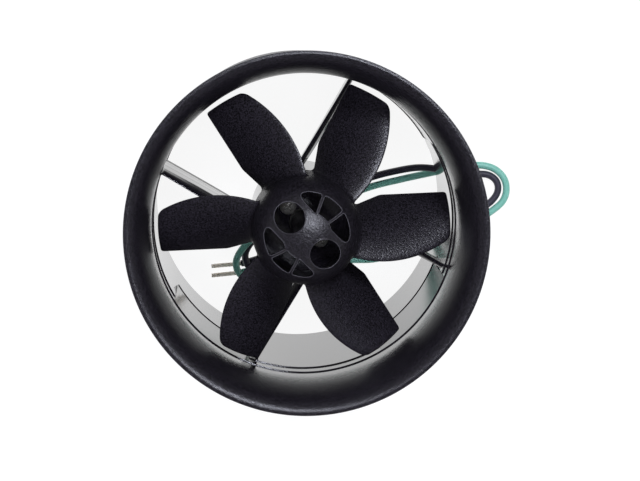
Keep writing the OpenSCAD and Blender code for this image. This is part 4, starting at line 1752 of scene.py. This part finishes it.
@dataclass
class Lead:
    """One motor lead: insulation along its route and the stripped, twisted end."""

    name: str
    turn: float
    floor_points: tuple[tuple[float, float, float], ...]
    tip: tuple[float, float, float]
    diameter: float = 1.6
    tab_r: float = Motor.tab_r
    top_z: float = Motor.solder[0][1]
    drop: float = 1.5
    end_share: float = 0.9
    strand_r: float = 0.165
    strands: int = 6
    strand_rows: int = 40
    strand_in: float = 0.4
    strand_close: float = 0.5
    pitch: float = 5.5

    def route(self) -> np.ndarray:
        """Smooth centreline through the route's points, in millimetres.

        Returns:
            Points of the centreline.
        """
        x, y = polar(self.tab_r, self.turn)
        hung = [(x, y, self.top_z), (x, y, self.top_z - self.drop)]
        p = np.array([*hung, *self.floor_points], float)
        last, steps, made = len(p) - 1, 8, []
        for i in range(last):
            a, b, c, d = p[max(i - 1, 0)], p[i], p[i + 1], p[min(i + 2, last)]
            for s in np.arange(steps) / steps:
                square, cube = 2 * a - 5 * b + 4 * c - d, 3 * b - a - 3 * c + d
                q = 0.5 * (2 * b + (c - a) * s + square * s**2 + cube * s**3)
                made.append((q[0], q[1], max(q[2], self.diameter / 2)))
        return np.array([*made, tuple(p[-1])])

    @staticmethod
    def tube(line: np.ndarray, radii: np.ndarray | float, sides: int) -> Shell:
        """Round tube along a line.

        Args:
            line: Points of the centreline.
            radii: Radius, or one at each point.
            sides: Points round the tube.

        Returns:
            The closed tube.
        """
        ways = np.gradient(line, axis=0)
        ways /= np.linalg.norm(ways, axis=1)[:, None]
        steep = 0.9
        side = np.array([1.0, 0.0, 0.0] if abs(ways[0, 0]) < steep else [0.0, 1.0, 0.0])
        turns = np.linspace(0, math.tau, sides, endpoint=False)
        rings = []
        for point, way, radius in zip(line, ways, np.broadcast_to(radii, len(line))):
            side = side - way * side.dot(way)
            side /= np.linalg.norm(side)
            other = np.cross(way, side)
            spread = np.outer(np.cos(turns), side) + np.outer(np.sin(turns), other)
            rings.append(point + radius * spread)
        return skin(np.array(rings), caps=True)

    def insulation(self, finish: Material) -> tuple[Piece, np.ndarray]:
        """Insulation tube with its far end softened.

        Args:
            finish: Its material.

        Returns:
            The tube and its centreline in millimetres.
        """
        line = self.route()
        radii = np.full(len(line), self.diameter / 2)
        radii[-1] *= self.end_share
        tube = self.tube(line, radii, 20)
        return mesh_piece(self.name + "_insulation", tube, finish, sharp=50), line

    def strand_end(self, finish: Material, ring: CopyRing) -> Piece:
        """Twisted, tinned strands that stand out of the insulation.

        Args:
            finish: Its material.
            ring: Tree that sets copies round the axis.

        Returns:
            The finished piece.
        """
        start, end = np.array(self.floor_points[-1]), np.array(self.tip)
        length = float(np.linalg.norm(end - start)) + self.strand_in
        z = np.linspace(0, length, self.strand_rows)
        closing = np.where(z > length - self.strand_close, self.end_share, 1.0)
        wound = level(polar(2 * self.strand_r * closing, 360 * z / self.pitch), z)
        straight = level(np.zeros((len(z), 2)), z)
        strand, core = (
            mesh_piece(self.name + part, self.tube(line, self.strand_r, 10), finish, sharp=60)
            for part, line in (("_strand", wound), ("_core", straight))
        )
        twist = ring.make(self.name + "_twist", strand, self.strands, 0, finish)
        made = joined(self.name + "_strands", [twist, core], sharp=60)
        way = Vector((end - start).tolist()).normalized()
        turn = way.to_track_quat("Z", "Y").to_matrix().to_4x4()
        foot = Vector((start * MM).tolist()) - way * self.strand_in * MM
        made.data.transform(Matrix.Translation(foot) @ turn)
        return made


# Routes of the leads from below their tabs to the stripped ends.
GREEN_POINTS = (
    (-3.93, -3.76, 13.85), (-4.5, -4.18, 12.55), (-5.39, -4.83, 11.55), (-6.55, -5.7, 10.95),
    (-9.4, -7.8, 10.3), (-12.4, -10.8, 9.2), (-14.1, -14, 7.4), (-13.7, -17.1, 5),
    (-11.5, -19.1, 2.8), (-8, -19.9, 1.3), (-3.8, -19.3, 0.8), (1, -17.6, 0.8), (6.5, -15.8, 0.8),
    (12, -15, 0.8), (18.5, -14.7, 0.8), (25, -12.5, 0.8), (31, -9.2, 0.8), (37, -7.1, 0.8),
    (42.2, -5.5, 0.8), (46, -3.1, 0.8), (48, -1.1, 0.8), (48.7, 1.5, 0.8), (48, 4.15, 0.8),
    (46, 6.1, 0.8), (43.2, 7, 0.8), (39.5, 6.9, 0.8), (35, 6.1, 0.8), (30, 5.1, 0.8), (24, 3.8, 0.8),
    (16.8, 2, 0.8), (9.5, -1.1, 0.8), (3.2, -6.3, 0.8), (-2.5, -12.4, 0.8), (-7.6, -16.3, 0.8),
    (-13, -17.8, 0.8),
)
BLACK_POINTS = (
    (3.56, 3.45, 13.85), (3.05, 2.96, 12.55), (2.2, 2.16, 11.55), (0.95, 1, 10.9), (-1.2, -1, 10.3),
    (-4, -3.5, 9.5), (-7.2, -6.3, 8.6), (-10.2, -9.3, 7.6), (-12, -12.5, 6.2), (-11.6, -15.4, 4.4),
    (-9.6, -17.3, 2.8), (-6.4, -17.9, 1.4), (-2.8, -17, 0.8), (1.6, -15.5, 0.8), (6.8, -13.9, 0.8),
    (12.1, -13.1, 0.8), (18.2, -12.8, 0.8), (24.2, -10.7, 0.8), (30.4, -7.3, 0.8), (36.4, -5.3, 0.8),
    (41.2, -3.8, 0.8), (44.4, -2, 0.8), (46.2, -0.1, 0.8), (46.75, 1.8, 0.8), (46.15, 3.6, 0.8),
    (44.4, 4.8, 0.9), (41.8, 5.1, 1.4), (38, 5.3, 2.4), (34.2, 6, 2.85), (30.9, 6.6, 2.6),
    (27.4, 6.6, 1.7), (23, 5.8, 0.9), (17.5, 4.4, 0.8), (9.8, 1.5, 0.8), (3.5, -3.4, 0.8),
    (-2.2, -9.5, 0.8), (-7.2, -13.8, 0.8), (-13, -15.7, 0.8),
)
GREEN_TIP, BLACK_TIP = (-19.8, -18.5, 0.6), (-19.8, -16.3, 0.6)


@dataclass
class Studio:
    """Camera at the photograph's angle, pale floor, world and lamps."""

    eye: tuple[float, float, float] = (-21.87, 83.53, 795.85)
    aim: tuple[float, float, float] = (2.813, -1.589, 75.284)
    lens: float = 193.95
    sensor: float = 36.0
    clip: Pair = (0.01, 50.0)
    floor_half: float = 6.0
    floor_gap: float = 0.05
    floor_glow: float = 0.9
    floor_shade: float = 0.14
    floor_bounce: float = 0.95
    floor_matte: float = 0.4
    overhead: float = 0.13
    horizon: float = 0.5
    horizon_band: Pair = (0.03, 0.2)
    lamp_aim: float = 0.06
    lamp_far: float = 0.95
    lamp_colour: str = "#eef1ff"
    key_turn: float = 66.0
    key_tilt: float = 30.0
    key_size: float = 0.2
    key_watts: float = 6.6
    fill_turn: float = 235.0
    fill_tilt: float = 22.0
    fill_size: float = 0.35
    fill_watts: float = 5.2
    front_watts: float = 3.6

    def camera(self) -> None:
        """Sets the scene's camera."""
        data = bpy.data.cameras.new("camera")
        data.lens, data.sensor_width, data.sensor_fit = self.lens, self.sensor, "HORIZONTAL"
        data.clip_start, data.clip_end = self.clip
        camera = linked("camera", data)
        eye, aim = Vector(self.eye) * MM, Vector(self.aim) * MM
        back = (eye - aim).normalized()
        right = Vector((0, 1, 0)).cross(back).normalized()
        turn = Matrix((right, back.cross(right), back)).transposed().to_4x4()
        camera.matrix_world = Matrix.Translation(eye) @ turn
        bpy.context.scene.camera = camera

    def floor(self) -> None:
        """Pale floor: white to the eye and in reflections, clear from below, with a shadow."""
        data = bpy.data.meshes.new("floor")
        half, low = self.floor_half, -self.floor_gap * MM
        corners = [(-half, -half, low), (half, -half, low), (half, half, low), (-half, half, low)]
        data.from_pydata(corners, [], [(0, 1, 2, 3)])
        made = bpy.data.materials.new("white_sweep")
        made.use_nodes = True
        tree = made.node_tree
        tree.nodes.clear()
        path = add_node(tree, "ShaderNodeLightPath").outputs
        seen = path["Is Camera Ray"]
        for ray in ("Is Glossy Ray", "Is Transmission Ray"):
            seen = add_node(tree, MATH, {0: seen, 1: path[ray]}, operation="MAXIMUM")
        sides = []
        for power, grey in ((self.floor_bounce, self.floor_matte), (self.floor_glow, self.floor_shade)):
            glow = add_node(tree, "ShaderNodeEmission", {"Color": WHITE, "Strength": power})
            matte = add_node(tree, "ShaderNodeBsdfDiffuse", {"Color": (grey, grey, grey, 1)})
            sides.append(add_node(tree, "ShaderNodeAddShader", {0: glow, 1: matte}))
        above = add_node(tree, "ShaderNodeMixShader", {0: seen, 1: sides[0], 2: sides[1]})
        under = add_node(tree, "ShaderNodeNewGeometry").outputs["Backfacing"]
        clear = add_node(tree, "ShaderNodeBsdfTransparent")
        both = add_node(tree, "ShaderNodeMixShader", {0: under, 1: above, 2: clear})
        add_node(tree, "ShaderNodeOutputMaterial", {"Surface": both})
        data.materials.append(made)
        linked("floor", data)

    def world(self) -> None:
        """White to the eye, a pale band at the horizon and a dim ceiling for the light."""
        world = bpy.data.worlds.new("studio")
        bpy.context.scene.world = world
        world.use_nodes = True
        tree = world.node_tree
        tree.nodes.clear()
        way = add_node(tree, "ShaderNodeTexCoord").outputs["Generated"]
        low, high = self.horizon_band
        sky = {
            "Value": add_node(tree, "ShaderNodeSeparateXYZ", {0: way}).outputs[2],
            "From Min": low, "From Max": high, "To Min": self.horizon, "To Max": self.overhead,
        }
        light = add_node(tree, RANGE, sky, interpolation_type="SMOOTHSTEP")
        seen = add_node(tree, "ShaderNodeLightPath").outputs["Is Camera Ray"]
        shown = {0: seen, FLOAT_A: light, FLOAT_B: 1.0}
        power = add_node(tree, MIX, shown, data_type="FLOAT")
        back = add_node(tree, "ShaderNodeBackground", {"Color": WHITE, "Strength": power})
        add_node(tree, "ShaderNodeOutputWorld", {"Surface": back})

    def lamp(self, name: str, place: Vector, size: float, watts: float) -> Piece:
        """Round soft lamp that looks at the middle of the rotor.

        Args:
            name: Name of the lamp.
            place: Where it hangs, in metres.
            size: Its diameter in metres.
            watts: Its power.

        Returns:
            The linked lamp.
        """
        data = bpy.data.lights.new(name, "AREA")
        data.shape = "DISK"
        data.size, data.energy, data.color = size, watts, linear(self.lamp_colour)[:3]
        made = linked(name, data)
        aim = (Vector((0, 0, self.lamp_aim)) - place).normalized()
        turn = aim.to_track_quat("-Z", "Y").to_matrix().to_4x4()
        made.matrix_world = Matrix.Translation(place) @ turn
        return made

    def hung(self, turn: float, tilt: float) -> Vector:
        """Place of a lamp at an angle round the axis and a tilt from it, in degrees.

        Args:
            turn: Angle round the axis.
            tilt: Tilt from the axis.

        Returns:
            The place in metres.
        """
        lean = math.radians(tilt)
        plan = polar(self.lamp_far * math.sin(lean), turn)
        return Vector((*plan, self.lamp_far * math.cos(lean) + self.lamp_aim))

    def lamps(self) -> None:
        """Key lamp above the picture's top, and two without glare: opposite and by the eye."""
        self.lamp("key", self.hung(self.key_turn, self.key_tilt), self.key_size, self.key_watts)
        opposite = self.hung(self.fill_turn, self.fill_tilt)
        fill = self.lamp("fill", opposite, self.fill_size, self.fill_watts)
        way = (Vector(self.eye) - Vector(self.aim)).normalized()
        front = self.lamp("front", way * self.lamp_far, self.fill_size, self.front_watts)
        fill.visible_glossy = front.visible_glossy = False

    def build(self) -> None:
        """Sets up the whole studio."""
        bpy.context.scene.view_settings.view_transform = "Standard"
        self.camera()
        self.floor()
        self.world()
        self.lamps()


class Dresser:
    """Puts finished pieces on their bodies and finishes on carried-over nodes."""

    def __init__(self, frame: dict, palette: Palette) -> None:
        """Keeps the frame and the finishes."""
        self.frame = frame
        self.palette = palette

    def stand_in(self, piece: Piece, body: Body, slot: Slot, *nodes: str) -> None:
        """Lets a piece ride on a body in place of some nodes.

        Args:
            piece: The finished piece.
            body: The body that carries it.
            slot: The record's slot of its finish; not used.
            nodes: The nodes that it stands for.
        """
        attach(piece, body.value)
        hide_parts(*nodes)
        LOG.info("%s stands for %s", piece.name, ", ".join(nodes))

    def finish_nodes(self) -> None:
        """Gives each carried-over node the finish of its slot."""
        rows = self.frame["record"]["subparts"]
        slots = {row["node"]: Slot(row["material_slot"]) for row in rows}
        for name, node in self.frame["nodes"].items():
            if node.hide_render:
                continue
            node.data.materials.clear()
            node.data.materials.append(self.palette[slots[name]])
            LOG.info("%s keeps its solid", name)


def build_fan(frame: dict) -> None:
    """Makes every piece of the fan and sets it on the frame.
    """
    palette = Palette()
    ring = CopyRing()
    dress = Dresser(frame, palette)
    duct, rotor, motor = Duct(), Impeller(), Motor()
    fixed, turning = Body.HOUSING, Body.ROTOR
    black, steel, tin = palette[Slot.DUCT], palette[Slot.STEEL], palette[Slot.TIN]
    leads = (
        (Lead("green", motor.turn + 90, GREEN_POINTS, GREEN_TIP), Slot.GREEN, "green_lead"),
        (Lead("black", motor.turn - 90, BLACK_POINTS, BLACK_TIP), Slot.BLACK, "black_lead"),
    )
    for lead, slot, node in leads:
        cover, line = lead.insulation(palette[slot])
        ends = lead.strand_end(tin, ring)
        dress.stand_in(cover, fixed, slot, node)
        dress.stand_in(ends, fixed, Slot.TIN, node + "_end")
        lead.diameter * MM
    pieces = (
        (duct.inlet_ring(black), fixed, Slot.DUCT, "inlet_ring"),
        (duct.rotor_shroud(black), fixed, Slot.DUCT, "rotor_shroud"),
        (duct.stator_housing(black, ring), fixed, Slot.DUCT, "stator_housing"),
        (rotor.build(palette[Slot.IMPELLER], ring), turning, Slot.IMPELLER, "impeller"),
        (motor.can(steel), fixed, Slot.STEEL, "motor_can"),
        (motor.bell(palette[Slot.NYLON]), fixed, Slot.NYLON, "end_bell"),
        (motor.screws(steel, ring), fixed, Slot.STEEL, "motor_screws"),
        (motor.tabs(palette[Slot.COPPER], ring), fixed, Slot.COPPER, "terminals"),
        (motor.beads(tin, ring), fixed, Slot.TIN, "solder_joints"),
    )
    for row in pieces:
        dress.stand_in(*row)
    dress.finish_nodes()


def main() -> None:
    """Loads the frame, dresses the fan and sets the studio."""
    logging.basicConfig(level=logging.INFO, format="%(message)s")
    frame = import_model()
    Studio().build()
    build_fan(frame)


if __name__ == "__main__":
    main()
